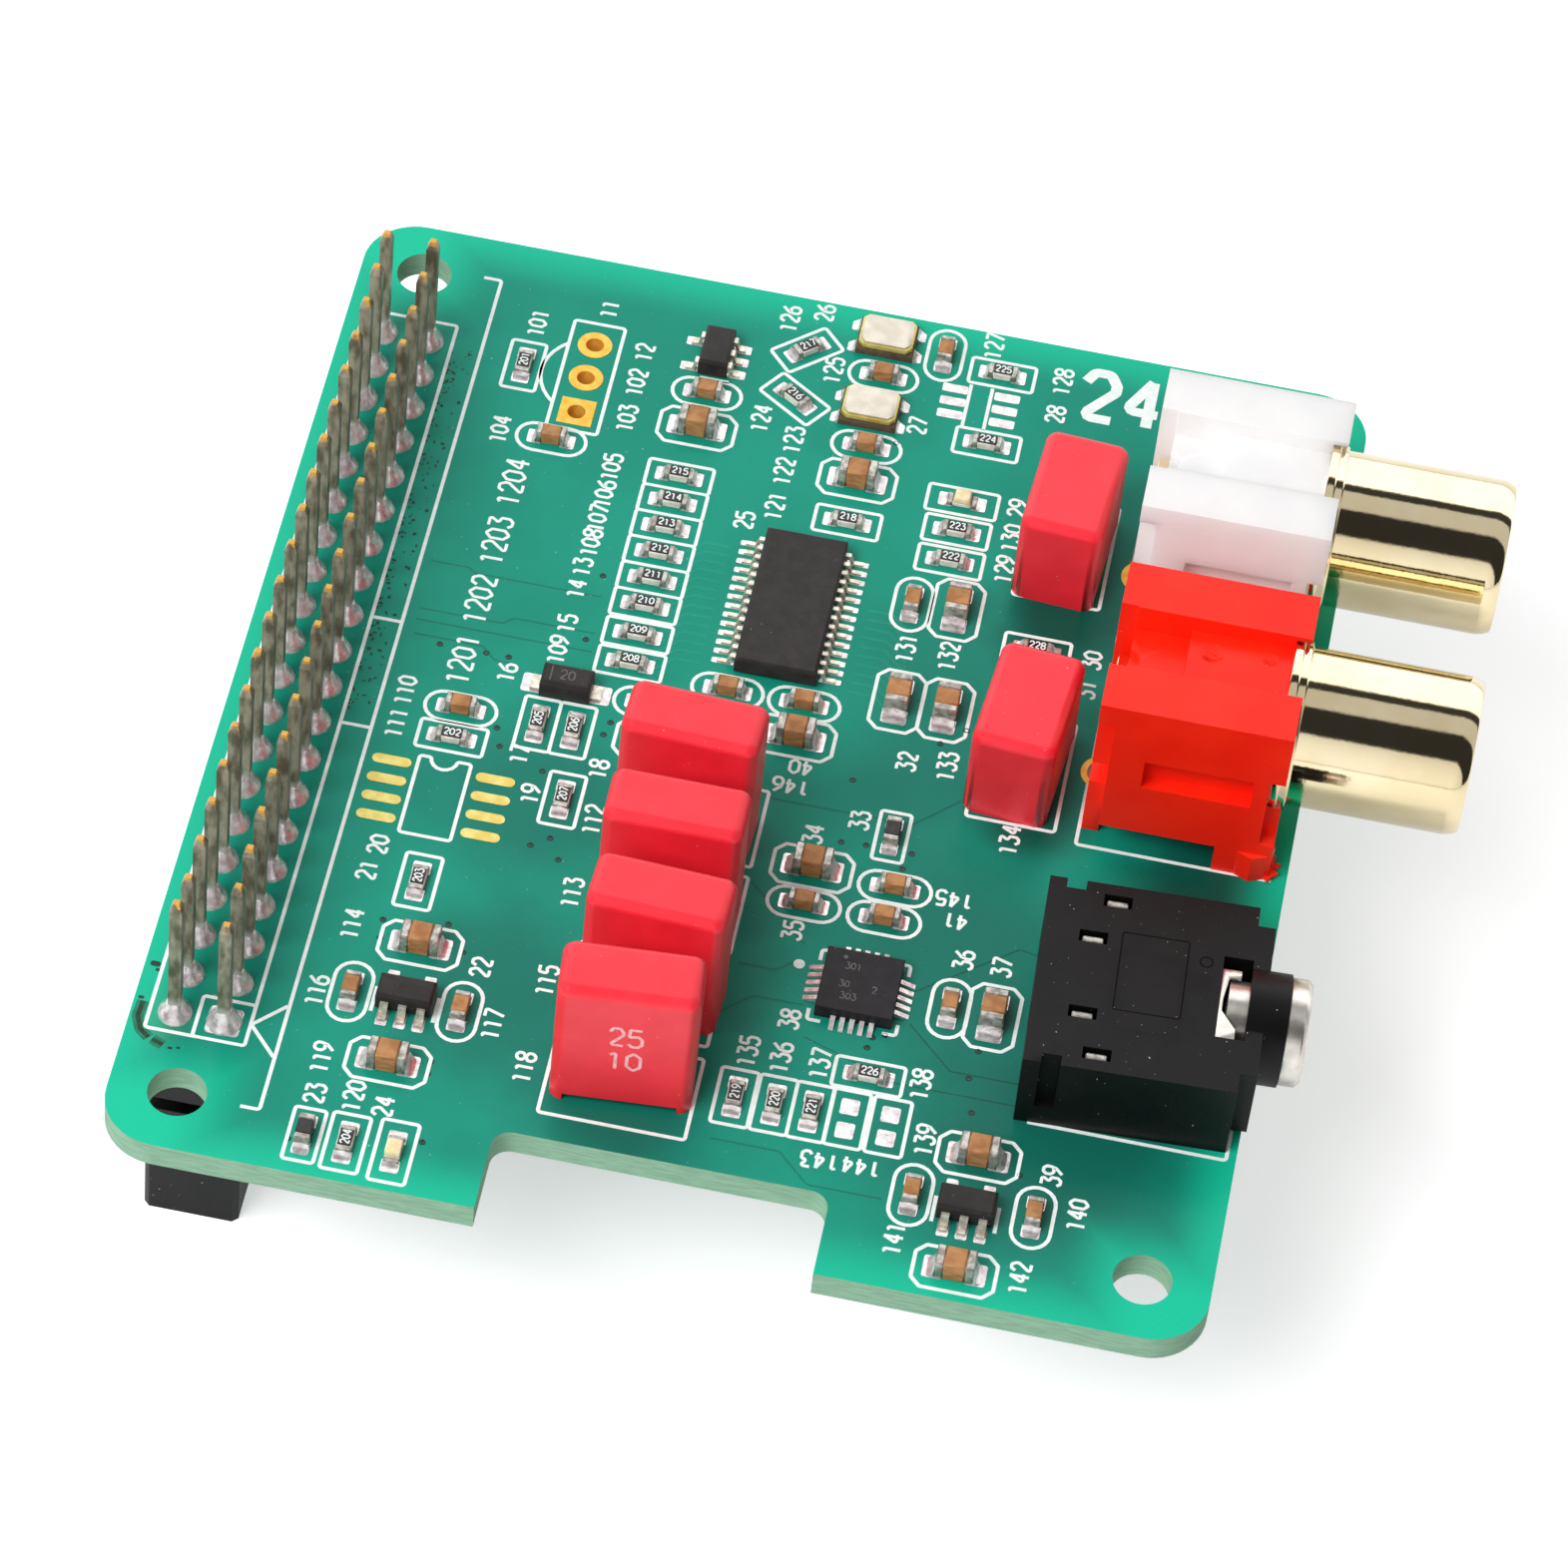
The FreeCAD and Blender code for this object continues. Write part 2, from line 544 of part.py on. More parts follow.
def phono_shell():
    """The plated shell: a tube with a rolled lip, a flange and shoulder in the housing, and an earth leg."""
    front = PHONO_LENGTH + SHELL_REACH
    flange_front = FLANGE_X + SHELL_FLANGE_THICKNESS
    bore_r = SHELL_R - SHELL_WALL
    shoulder = PHONO_LENGTH + SHELL_SHOULDER_PROUD
    profile = [
        (FLANGE_X, bore_r), (FLANGE_X, SHELL_FLANGE_R), (flange_front, SHELL_FLANGE_R),
        (flange_front, SHELL_SHOULDER_R), (shoulder, SHELL_SHOULDER_R), (shoulder, SHELL_R),
        (front - SHELL_LIP, SHELL_R), (front, SHELL_R - SHELL_LIP_DROP), (front, bore_r),
    ]
    shell = turned_x(profile, PHONO_AXIS_Z)
    leg = span(FLANGE_X, flange_front, -SHELL_LEG_WIDTH / 2, SHELL_LEG_WIDTH / 2, TAIL_END,
               PHONO_AXIS_Z - SHELL_R)
    return shell.fuse(leg).removeSplitter()


def phono_contact():
    """The centre contact: a sprung tube with a flat tail bent down to the board."""
    front = PHONO_LENGTH + SHELL_REACH - CONTACT_SET_BACK
    tail_end_x = CONTACT_REAR + CONTACT_TAIL_THICKNESS
    tube = rod_x(CONTACT_R, CONTACT_REAR, front, PHONO_AXIS_Z)
    tail = span(CONTACT_REAR, tail_end_x, -CONTACT_TAIL_WIDTH / 2, CONTACT_TAIL_WIDTH / 2, TAIL_END,
                PHONO_AXIS_Z)
    return tube.fuse(tail).cut(rod_x(CONTACT_BORE_R, tail_end_x, front, PHONO_AXIS_Z)).removeSplitter()


def jack_housing():
    """The moulded body of the headphone socket with its flange, collar, windows and open mouth."""
    body = block(JACK_LENGTH, JACK_WIDTH, JACK_HEIGHT)
    flange_front = JACK_FRONT + JACK_FLANGE_THICKNESS
    adds = [
        span(JACK_FRONT, flange_front, -JACK_FLANGE_WIDTH / 2, JACK_FLANGE_WIDTH / 2,
             JACK_FLANGE_LIFT, JACK_HEIGHT),
        rod_x(JACK_COLLAR_R, JACK_FRONT, COLLAR_FRONT, JACK_AXIS_Z),
    ]
    mouth_y = JACK_MOUTH_SHIFT
    bush_rear = COLLAR_FRONT - BUSH_DEPTH
    bore_rear = -JACK_FRONT + JACK_BORE_END
    cuts = [
        span(JACK_FRONT - JACK_MOUTH_LENGTH, JACK_FRONT, mouth_y - JACK_MOUTH_WIDTH / 2,
             mouth_y + JACK_MOUTH_WIDTH / 2, JACK_AXIS_Z - JACK_BORE_R, JACK_HEIGHT),
        rod_x(BUSH_R, bush_rear, COLLAR_FRONT, JACK_AXIS_Z),
        rod_x(JACK_BORE_R, bore_rear, COLLAR_FRONT, JACK_AXIS_Z),
    ]
    for x, y in BLADE_PLACES:
        cuts.append(block(JACK_WINDOW_LENGTH, JACK_WINDOW_WIDTH, JACK_HEIGHT, x, y))
    for side in (-1, 1):
        y = side * (JACK_WIDTH - JACK_SIDE_SLOT_DEPTH) / 2
        cuts.append(block(JACK_SIDE_SLOT_WIDTH, JACK_SIDE_SLOT_DEPTH, JACK_HEIGHT - JACK_SIDE_SLOT_FLOOR,
                          JACK_SIDE_SLOT_X, y, JACK_SIDE_SLOT_FLOOR))
    return body.fuse(adds).cut(cuts).removeSplitter()


def jack_bush():
    """The nickel bush: a bored barrel pressed into the collar, with a wider ferrule outside."""
    rear = COLLAR_FRONT - BUSH_DEPTH
    front = COLLAR_FRONT + FERRULE_LENGTH
    profile = [
        (rear, JACK_BORE_R), (rear, BUSH_R), (COLLAR_FRONT, BUSH_R), (COLLAR_FRONT, FERRULE_R),
        (front - FERRULE_EDGE, FERRULE_R), (front, FERRULE_R - FERRULE_EDGE), (front, JACK_BORE_R),
    ]
    return turned_x(profile, JACK_AXIS_Z)


def jack_spring():
    """The flat earth spring in the open mouth: two tabs either side of the plug, joined by a narrow web."""
    rear = JACK_FRONT - JACK_MOUTH_LENGTH
    near = JACK_MOUTH_SHIFT - JACK_MOUTH_WIDTH / 2
    far = JACK_MOUTH_SHIFT + JACK_MOUTH_WIDTH / 2 - SPRING_FAR_INSET
    web = rear + SPRING_WEB
    front = rear + SPRING_TAB
    points = [
        (rear, near), (front, near), (front, SPRING_NEAR_EDGE), (web, SPRING_GAP_NEAR),
        (web, SPRING_GAP_FAR), (web + SPRING_WEB, SPRING_FAR_EDGE), (front, SPRING_FAR_EDGE),
        (front, far), (rear, far),
    ]
    top = JACK_HEIGHT - SPRING_TOP_DROP
    return plate(points, top - SPRING_THICKNESS, top)


def film_capacitor(depth, height):
    """A moulded box capacitor with soft edges, hollowed under its middle to leave two feet."""
    body = block(FILM_LENGTH, depth, height)
    body = body.makeChamfer(FILM_SIDE_BEVEL, upright_edges(body))
    body = body.makeChamfer(FILM_TOP_BEVEL, edges_above(body, height - 0.001))
    return body.cut(block(FILM_LENGTH - 2 * FILM_FOOT_LENGTH, depth, FILM_FOOT_HEIGHT))


def film_wires():
    """The two wires of a film capacitor, from its underside to below the board."""
    reach = FILM_WIRE_PITCH / 2
    return [bar_z(FILM_WIRE_R, side * reach, 0.0, TAIL_END, FILM_FOOT_HEIGHT) for side in (-1, 1)]


def moulded_chip(length, depth, top, stand_off, bevel):
    """A moulded chip body with bevelled upper edges."""
    body = block(length, depth, top - stand_off, 0.0, 0.0, stand_off)
    return body.makeChamfer(bevel, edges_above(body, top - 0.001))


def gull_wing(reach, exit_height, width, thickness):
    """A gull-wing lead that leaves a body side at x = 0 and lands on the board at full reach."""
    knee = reach * LEAD_KNEE_SHARE
    ankle = reach * LEAD_ANKLE_SHARE
    points = [
        (0.0, exit_height + thickness), (knee, exit_height + thickness), (ankle, thickness),
        (reach, thickness), (reach, 0.0), (ankle - thickness, 0.0), (knee - thickness, exit_height),
        (0.0, exit_height),
    ]
    return prism_y(points, width)


def converter_leads():
    """Two rows of gull-wing leads along the long sides of the converter chip."""
    exit_height = (CONVERTER_TOP + CONVERTER_STAND_OFF - CONVERTER_BEVEL) / 2
    lead = gull_wing(CONVERTER_LEAD_REACH, exit_height, CONVERTER_LEAD_WIDTH, CONVERTER_LEAD_THICKNESS)
    leads = []
    for row in range(CONVERTER_LEADS_A_SIDE):
        y = (row - (CONVERTER_LEADS_A_SIDE - 1) / 2) * CONVERTER_PITCH
        leads.append(placed(lead, CONVERTER_WIDTH / 2, y, 0.0))
        leads.append(placed(lead, -CONVERTER_WIDTH / 2, y, 180.0))
    return leads


def amplifier_pads():
    """The wicked solder feet around the amplifier chip."""
    points = [(0.0, 0.0), (0.0, AMPLIFIER_PAD_HEIGHT), (AMPLIFIER_PAD_REACH, AMPLIFIER_PAD_EDGE),
              (AMPLIFIER_PAD_REACH, 0.0)]
    pad = prism_y(points, AMPLIFIER_PAD_WIDTH)
    pads = []
    for quarter in range(4):
        for step in range(AMPLIFIER_PADS_A_SIDE):
            along = (step - (AMPLIFIER_PADS_A_SIDE - 1) / 2) * AMPLIFIER_PITCH
            x, y = swung(AMPLIFIER_SIDE / 2, along, QUARTER_TURN * quarter)
            pads.append(placed(pad, x, y, QUARTER_TURN * quarter))
    return pads


def regulator_leads():
    """Three gull-wing leads on the near side of a regulator and two on its far side."""
    exit_height = (REGULATOR_TOP + REGULATOR_STAND_OFF - REGULATOR_BEVEL) / 2
    lead = gull_wing(REGULATOR_LEAD_REACH, exit_height, REGULATOR_LEAD_WIDTH, REGULATOR_LEAD_THICKNESS)
    half = REGULATOR_DEPTH / 2
    near = [placed(lead, step * REGULATOR_PITCH, -half, -QUARTER_TURN) for step in (-1, 0, 1)]
    far = [placed(lead, step * REGULATOR_PITCH, half, QUARTER_TURN) for step in (-1, 1)]
    return near + far


def diode_leads():
    """The flat lead at each end of the diode."""
    lead = span(0.0, DIODE_LEAD_REACH, -DIODE_LEAD_WIDTH / 2, DIODE_LEAD_WIDTH / 2, 0.0, DIODE_LEAD_THICKNESS)
    return [placed(lead, DIODE_LENGTH / 2, 0.0, 0.0), placed(lead, -DIODE_LENGTH / 2, 0.0, 180.0)]


def clipped_plate(inset, height, z):
    """A plate on an oscillator, set in from its edges all round and clipped at the corners."""
    plate = block(OSCILLATOR_LENGTH - 2 * inset, OSCILLATOR_DEPTH - 2 * inset, height, 0.0, 0.0, z)
    return plate.makeChamfer(OSCILLATOR_CORNER, upright_edges(plate))


def chip_body(size, end):
    """The middle of a two-ended chip part."""
    length, depth, height = size
    return block(length - 2 * end, depth, height)


def chip_ends(size, end):
    """The two tinned ends of a chip part."""
    length, depth, height = size
    return [block(end, depth, height, side * (length - end) / 2) for side in (-1, 1)]


# Board and header
export("circuit_board", [circuit_board()])
spacer_bottom = -SPACER_HEIGHT
socket_top = spacer_bottom - SPACER_GAP
socket_bottom = socket_top - SOCKET_HEIGHT
export("header_spacer", [header_strip(spacer_bottom, 0.0)])
export("header_socket_housing", [header_strip(socket_bottom, socket_top)])
pin = header_pin(socket_bottom + SOCKET_ENTRY_DEPTH)
lifts = [RAISED_PIN_LIFT if number == RAISED_PIN else 0.0 for number in range(len(PIN_PLACES))]
export("header_pins", [placed(pin, x, y, z=lift) for (x, y), lift in zip(PIN_PLACES, lifts)])
joint = header_joint()
export("header_solder_joints", [placed(joint, x, y, z=BOARD_THICKNESS) for x, y in PIN_PLACES])

# Phono sockets
for colour, axis_y in (("white", PHONO_WHITE_Y), ("red", PHONO_RED_Y)):
    export("phono_housing_" + colour, [on_board(phono_housing(), PHONO_REAR_X, axis_y)])
    export("phono_shell_" + colour, [on_board(phono_shell(), PHONO_REAR_X, axis_y)])
    export("phono_centre_contact_" + colour, [on_board(phono_contact(), PHONO_REAR_X, axis_y)])

# Headphone socket
JACK_PLACE = [(JACK_X, JACK_Y, JACK_TURN)]
export("headphone_housing", at_places([jack_housing()], JACK_PLACE))
export("headphone_bush", at_places([jack_bush()], JACK_PLACE))
blade_top = JACK_HEIGHT - BLADE_TOP_DROP
blades = [block(BLADE_WIDTH, BLADE_THICKNESS, blade_top - TAIL_END, x, y, TAIL_END) for x, y in BLADE_PLACES]
export("headphone_contact_blades", at_places(blades, JACK_PLACE))
export("headphone_earth_spring", at_places([jack_spring()], JACK_PLACE))

# Film capacitors
tall = film_capacitor(FILM_TALL_DEPTH, FILM_TALL_HEIGHT)
low = film_capacitor(FILM_LOW_DEPTH, FILM_LOW_HEIGHT)
for number, place in enumerate(FILM_TALL_PLACES, 1):
    export("film_capacitor_tall_" + str(number), [on_board(tall, *place)])
for number, place in enumerate(FILM_LOW_PLACES, 1):
    export("film_capacitor_low_" + str(number), [on_board(low, *place)])
export("film_capacitor_wires", at_places(film_wires(), FILM_PLACES))

# Chips
converter = moulded_chip(CONVERTER_WIDTH, CONVERTER_LENGTH, CONVERTER_TOP, CONVERTER_STAND_OFF,
                         CONVERTER_BEVEL)
export("converter_chip_body", [on_board(converter, *CONVERTER_PLACE)])
export("converter_chip_leads", at_places(converter_leads(), [CONVERTER_PLACE]))
amplifier = block(AMPLIFIER_SIDE, AMPLIFIER_SIDE, AMPLIFIER_TOP)
export("amplifier_chip_body", [on_board(amplifier, *AMPLIFIER_PLACE)])
export("amplifier_chip_pads", at_places(amplifier_pads(), [AMPLIFIER_PLACE]))
regulator = moulded_chip(REGULATOR_LENGTH, REGULATOR_DEPTH, REGULATOR_TOP, REGULATOR_STAND_OFF,
                         REGULATOR_BEVEL)
for number, place in enumerate(REGULATOR_PLACES, 1):
    export("regulator_body_" + str(number), [on_board(regulator, *place)])
    export("regulator_leads_" + str(number), at_places(regulator_leads(), [place]))
diode = moulded_chip(DIODE_LENGTH, DIODE_DEPTH, DIODE_TOP, 0.0, DIODE_BEVEL)
export("rectifier_diode_body", [on_board(diode, *DIODE_PLACE)])
export("rectifier_diode_leads", at_places(diode_leads(), [DIODE_PLACE]))

# Oscillators
base = block(OSCILLATOR_LENGTH, OSCILLATOR_DEPTH, OSCILLATOR_BASE)
ring = clipped_plate(OSCILLATOR_RING_INSET, OSCILLATOR_RING, OSCILLATOR_BASE)
lid = clipped_plate(OSCILLATOR_LID_INSET, OSCILLATOR_LID, OSCILLATOR_BASE + OSCILLATOR_RING)
export("oscillator_bases", at_places([base], OSCILLATOR_PLACES))
export("oscillator_seal_rings", at_places([ring], OSCILLATOR_PLACES))
export("oscillator_lids", at_places([lid], OSCILLATOR_PLACES))

# Chip resistors
column = [(RESISTOR_COLUMN_X, RESISTOR_COLUMN_TOP_Y - step * RESISTOR_COLUMN_PITCH, 0.0)
          for step in range(RESISTOR_COLUMN_COUNT)]
resistor_places = column + RESISTOR_PLACES
resistor = (RESISTOR_LENGTH, RESISTOR_WIDTH, RESISTOR_HEIGHT)
glaze = block(RESISTOR_LENGTH - 2 * RESISTOR_END, RESISTOR_WIDTH - 2 * RESISTOR_GLAZE_MARGIN, RESISTOR_GLAZE,
              0.0, 0.0, RESISTOR_HEIGHT)
export("resistor_ceramics", at_places([chip_body(resistor, RESISTOR_END)], resistor_places))
export("resistor_glazes", at_places([glaze], resistor_places))
export("resistor_ends", at_places(chip_ends(resistor, RESISTOR_END), resistor_places))

# Chip capacitors
export("small_capacitor_blocks", at_places([chip_body(SMALL_CAPACITOR, SMALL_CAPACITOR_END)],
                                           SMALL_CAPACITOR_PLACES))
export("small_capacitor_ends", at_places(chip_ends(SMALL_CAPACITOR, SMALL_CAPACITOR_END),
                                         SMALL_CAPACITOR_PLACES))
export("large_capacitor_blocks", at_places([chip_body(LARGE_CAPACITOR, LARGE_CAPACITOR_END)],
                                           LARGE_CAPACITOR_PLACES))
export("large_capacitor_ends", at_places(chip_ends(LARGE_CAPACITOR, LARGE_CAPACITOR_END),
                                         LARGE_CAPACITOR_PLACES))

# Ferrite beads and status lamps
export("ferrite_bead_blocks", at_places([chip_body(BEAD, BEAD_END)], BEAD_PLACES))
export("ferrite_bead_ends", at_places(chip_ends(BEAD, BEAD_END), BEAD_PLACES))
lens_length = LAMP[0] - 2 * LAMP_END
lens_top = LAMP[2] + LAMP_LENS_HEIGHT
lens = prism_y([(-lens_length / 2, LAMP[2]), (lens_length / 2, LAMP[2]),
                (lens_length / 2 - LAMP_LENS_DRAFT, lens_top), (LAMP_LENS_DRAFT - lens_length / 2, lens_top)],
               LAMP[1])
export("status_lamp_bases", at_places([chip_body(LAMP, LAMP_END)], LAMP_PLACES))
export("status_lamp_ends", at_places(chip_ends(LAMP, LAMP_END), LAMP_PLACES))
export("status_lamp_lenses", at_places([lens], LAMP_PLACES))
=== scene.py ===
"""Dressed model of a stereo audio output board that plugs onto a 40-pin expansion header.

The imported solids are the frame. This script softens their edges, gives every piece its finish, and adds what
is too fine for solids: the printed legend, pads, solder, tracks and mould marks. Sizes are millimetres in the
board's own frame, whose origin is the middle of the four mounting holes on the underside. Drawings of the
legend are measured from the board's near left corner, as on a layout sheet.
"""
import json
import logging
import math
import random
from dataclasses import dataclass, replace
from enum import Enum
from functools import cache
from typing import Iterable, Sequence

import bmesh
import bpy
from mathutils import Matrix, Vector


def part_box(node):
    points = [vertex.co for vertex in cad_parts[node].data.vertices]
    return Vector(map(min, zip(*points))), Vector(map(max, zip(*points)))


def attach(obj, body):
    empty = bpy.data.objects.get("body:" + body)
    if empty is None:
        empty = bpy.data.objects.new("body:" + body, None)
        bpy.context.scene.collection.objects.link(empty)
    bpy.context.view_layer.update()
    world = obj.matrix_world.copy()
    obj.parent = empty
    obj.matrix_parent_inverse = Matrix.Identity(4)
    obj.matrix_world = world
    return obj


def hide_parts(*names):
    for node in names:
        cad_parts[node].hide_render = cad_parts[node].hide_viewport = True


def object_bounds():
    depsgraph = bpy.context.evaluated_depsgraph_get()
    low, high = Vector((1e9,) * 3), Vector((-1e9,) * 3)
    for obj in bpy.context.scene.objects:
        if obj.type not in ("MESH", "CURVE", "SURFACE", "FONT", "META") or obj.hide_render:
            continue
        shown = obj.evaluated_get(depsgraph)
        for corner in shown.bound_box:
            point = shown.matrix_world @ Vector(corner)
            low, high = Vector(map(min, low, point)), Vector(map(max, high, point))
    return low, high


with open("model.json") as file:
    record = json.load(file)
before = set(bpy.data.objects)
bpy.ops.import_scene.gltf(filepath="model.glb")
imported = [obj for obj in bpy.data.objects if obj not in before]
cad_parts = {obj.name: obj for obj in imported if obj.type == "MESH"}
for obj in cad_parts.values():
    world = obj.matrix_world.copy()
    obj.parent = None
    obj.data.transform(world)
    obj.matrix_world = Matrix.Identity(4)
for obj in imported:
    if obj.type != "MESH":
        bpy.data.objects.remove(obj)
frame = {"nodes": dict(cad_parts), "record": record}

CAD_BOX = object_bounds()
MM = 0.001
BODY = "root"
MERGE_GAP = 1e-7
SLIVER = 2e-7
FLAT_ANGLE = math.radians(1.0)
SHARP_ANGLE = math.radians(25.0)
CREASE_ANGLE = math.radians(38.0)
LINE_LEVELS = 7
LINE_LIFT = 0.0012
INK_THICKNESS = 0.02
MARK_THICKNESS = 0.006
PAD_THICKNESS = 0.035
DISC_SIDES = 20
CONE_SIDES = 14

Point = tuple[float, float]
Triple = tuple[float, float, float]
Spot = tuple[Point, float, float]
Line = Sequence[Point]
Tone = tuple[int, int, int]
Socket = bpy.types.NodeSocket
Mesh = bpy.types.Mesh

UNIT: Triple = (1.0, 1.0, 1.0)
WHITE_LIGHT = (1.0, 1.0, 1.0, 1.0)
DUST_TONE: Tone = (205, 200, 195)

log = logging.getLogger("audio_board")

BOARD_LOW, BOARD_HIGH = (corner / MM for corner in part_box("circuit_board"))
BOARD_TOP = BOARD_HIGH.z


class Reading(Enum):
    """Which way a printed number reads, as a turn of its line."""

    ALONG = 0.0
    UPWARD = math.pi / 2
    OVER = math.pi


class FrameShape(Enum):
    """Printed outline round a small part."""

    RECTANGLE = "rectangle"
    STADIUM = "stadium"
    CLIPPED = "clipped"


def linear(tone: Tone) -> tuple[float, float, float, float]:
    """A colour as it should look, 0 to 255, in the linear values that Blender works in.

    Args:
        tone: red, green and blue.
    Returns:
        Linear red, green, blue and a full alpha.
    """
    shares = [channel / 255 for channel in tone]
    red, green, blue = (s / 12.92 if s <= 0.04045 else ((s + 0.055) / 1.055) ** 2.4 for s in shares)
    return red, green, blue, 1.0


class Nodes:
    """A node tree under construction."""

    def __init__(self, tree: bpy.types.NodeTree) -> None:
        """Takes the tree to build on."""
        self.tree = tree

    def feed(self, socket: Socket, value: object) -> None:
        """Links an output to an input, or sets the input's own value.

        Args:
            socket: the input.
            value: an output, a node whose first output is meant, or a plain value.
        """
        if isinstance(value, bpy.types.Node):
            value = value.outputs[0]
        if isinstance(value, bpy.types.NodeSocket):
            self.tree.links.new(value, socket)
        else:
            socket.default_value = value

    def node(self, kind: str, inputs: dict[str | int, object], **settings: object) -> bpy.types.Node:
        """Adds a node.

        Args:
            kind: Blender's name for it.
            inputs: what its inputs are fed.
            settings: its own properties.
        Returns:
            The node.
        """
        made = self.tree.nodes.new(kind)
        for key, value in settings.items():
            setattr(made, key, value)
        for key, value in inputs.items():
            self.feed(made.inputs[key], value)
        return made

    def calc(self, operation: str, *values: object) -> Socket:
        """The result of a math node on numbers or sockets."""
        return self.node("ShaderNodeMath", dict(enumerate(values)), operation=operation).outputs[0]

    def step(self, value: object, low: float, high: float) -> Socket:
        """A smooth step from 0 at low to 1 at high."""
        inputs = {"Value": value, "From Min": low, "From Max": high}
        return self.node("ShaderNodeMapRange", inputs, interpolation_type="SMOOTHSTEP").outputs[0]

    def blend(self, share: object, first: object, second: object) -> Socket:
        """A mix of two colours by a share from 0 to 1."""
        return self.node("ShaderNodeMix", {0: share, 6: first, 7: second}, data_type="RGBA").outputs[2]


class Surface(Nodes):
    """A material under construction: one principled shader and the nodes that feed it."""

    def __init__(self, name: str) -> None:
        """Starts the material.

        Args:
            name: its name.
        """
        self.material = bpy.data.materials.new(name)
        self.material.use_nodes = True
        super().__init__(self.material.node_tree)
        self.shader = self.tree.nodes["Principled BSDF"]
        self.coordinates = self.node("ShaderNodeTexCoord", {})
        self.place = self.coordinates.outputs["Object"]

    def give(self, **values: object) -> None:
        """Feeds the principled shader's inputs, named with underscores for spaces."""
        for key, value in values.items():
            self.feed(self.shader.inputs[key.replace("_", " ")], value)

    def noise(self, size: float, detail: float = 3.0, stretch: Triple = UNIT) -> Socket:
        """Noise with features of about one size.

        Args:
            size: feature size in millimetres.
            detail: how many finer octaves it has.
            stretch: how much longer the features are along each axis.
        Returns:
            A socket from 0 to 1.
        """
        scale = [1.0 / (size * MM * along) for along in stretch]
        mapped = self.node("ShaderNodeMapping", {"Vector": self.place, "Scale": scale})
        return self.node("ShaderNodeTexNoise", {"Vector": mapped, "Scale": 1.0, "Detail": detail}).outputs["Fac"]

    def axes(self) -> tuple[Socket, ...]:
        """The place on the piece, as three lengths in metres."""
        return tuple(self.node("ShaderNodeSeparateXYZ", {"Vector": self.place}).outputs)

    def apart(self, place: Sequence[float]) -> Socket:
        """The distance from a place that is given in millimetres."""
        inputs = {0: self.place, 1: [at * MM for at in place]}
        return self.node("ShaderNodeVectorMath", inputs, operation="DISTANCE").outputs["Value"]

    def relief(self, height: object, depth: float) -> None:
        """Adds bump to the shader.

        Args:
            height: a socket from 0 to 1.
            depth: how deep that is, in millimetres.
        """
        bump = self.node("ShaderNodeBump", {"Height": height, "Distance": depth * MM})
        before = self.shader.inputs["Normal"].links
        if before:
            self.feed(bump.inputs["Normal"], before[0].from_socket)
        self.give(Normal=bump)


@dataclass(frozen=True)
class Finish:
    """A surface with two tones in soft patches, a fine grain and perhaps some pale dust.

    Tones are colours from 0 to 255. Patch, grain and depth are millimetres. Stretch draws the patches out.
    """

    name: str
    slot: str
    tone: Tone
    shade: Tone
    roughness: float = 0.45
    spread: float = 0.12
    patch: float = 1.2
    grain: float = 0.08
    depth: float = 0.004
    metal: float = 0.0
    gloss: float = 0.28
    coat: float = 0.0
    dust: float = 0.0
    pits: float = 0.0
    stretch: Triple = UNIT

    @cache
    def material(self) -> bpy.types.Material:
        """The finish as a material, made when it is first asked for.

        Returns:
            The material.
        """
        surface = Surface(self.name)
        self.dress(surface)
        return surface.material

    def tones(self, surface: Surface) -> Socket:
        """The colour: two tones in patches, with specks of dust where the finish has them.

        Args:
            surface: the material.
        Returns:
            A colour socket.
        """
        patches = surface.step(surface.noise(self.patch, 4.0, self.stretch), 0.32, 0.68)
        colour = surface.blend(patches, linear(self.tone), linear(self.shade))
        if self.dust:
            specks = surface.step(surface.noise(0.16, 1.0), 0.80 - self.dust, 0.84 - self.dust)
            colour = surface.blend(specks, colour, linear(DUST_TONE))
        return colour

    def dress(self, surface: Surface) -> None:
        """Feeds the shader.

        Args:
            surface: the material.
        """
        worn = surface.noise(self.patch * 0.6, 3.0, self.stretch)
        surface.relief(surface.noise(self.grain, 2.0), self.depth)
        if self.pits:
            surface.relief(surface.noise(0.2, 3.0), self.pits)
        surface.give(Base_Color=self.tones(surface), Metallic=self.metal, Specular_IOR_Level=self.gloss,
                     Coat_Weight=self.coat,
                     Roughness=surface.calc("MULTIPLY_ADD", worn, self.spread, self.roughness - self.spread / 2))


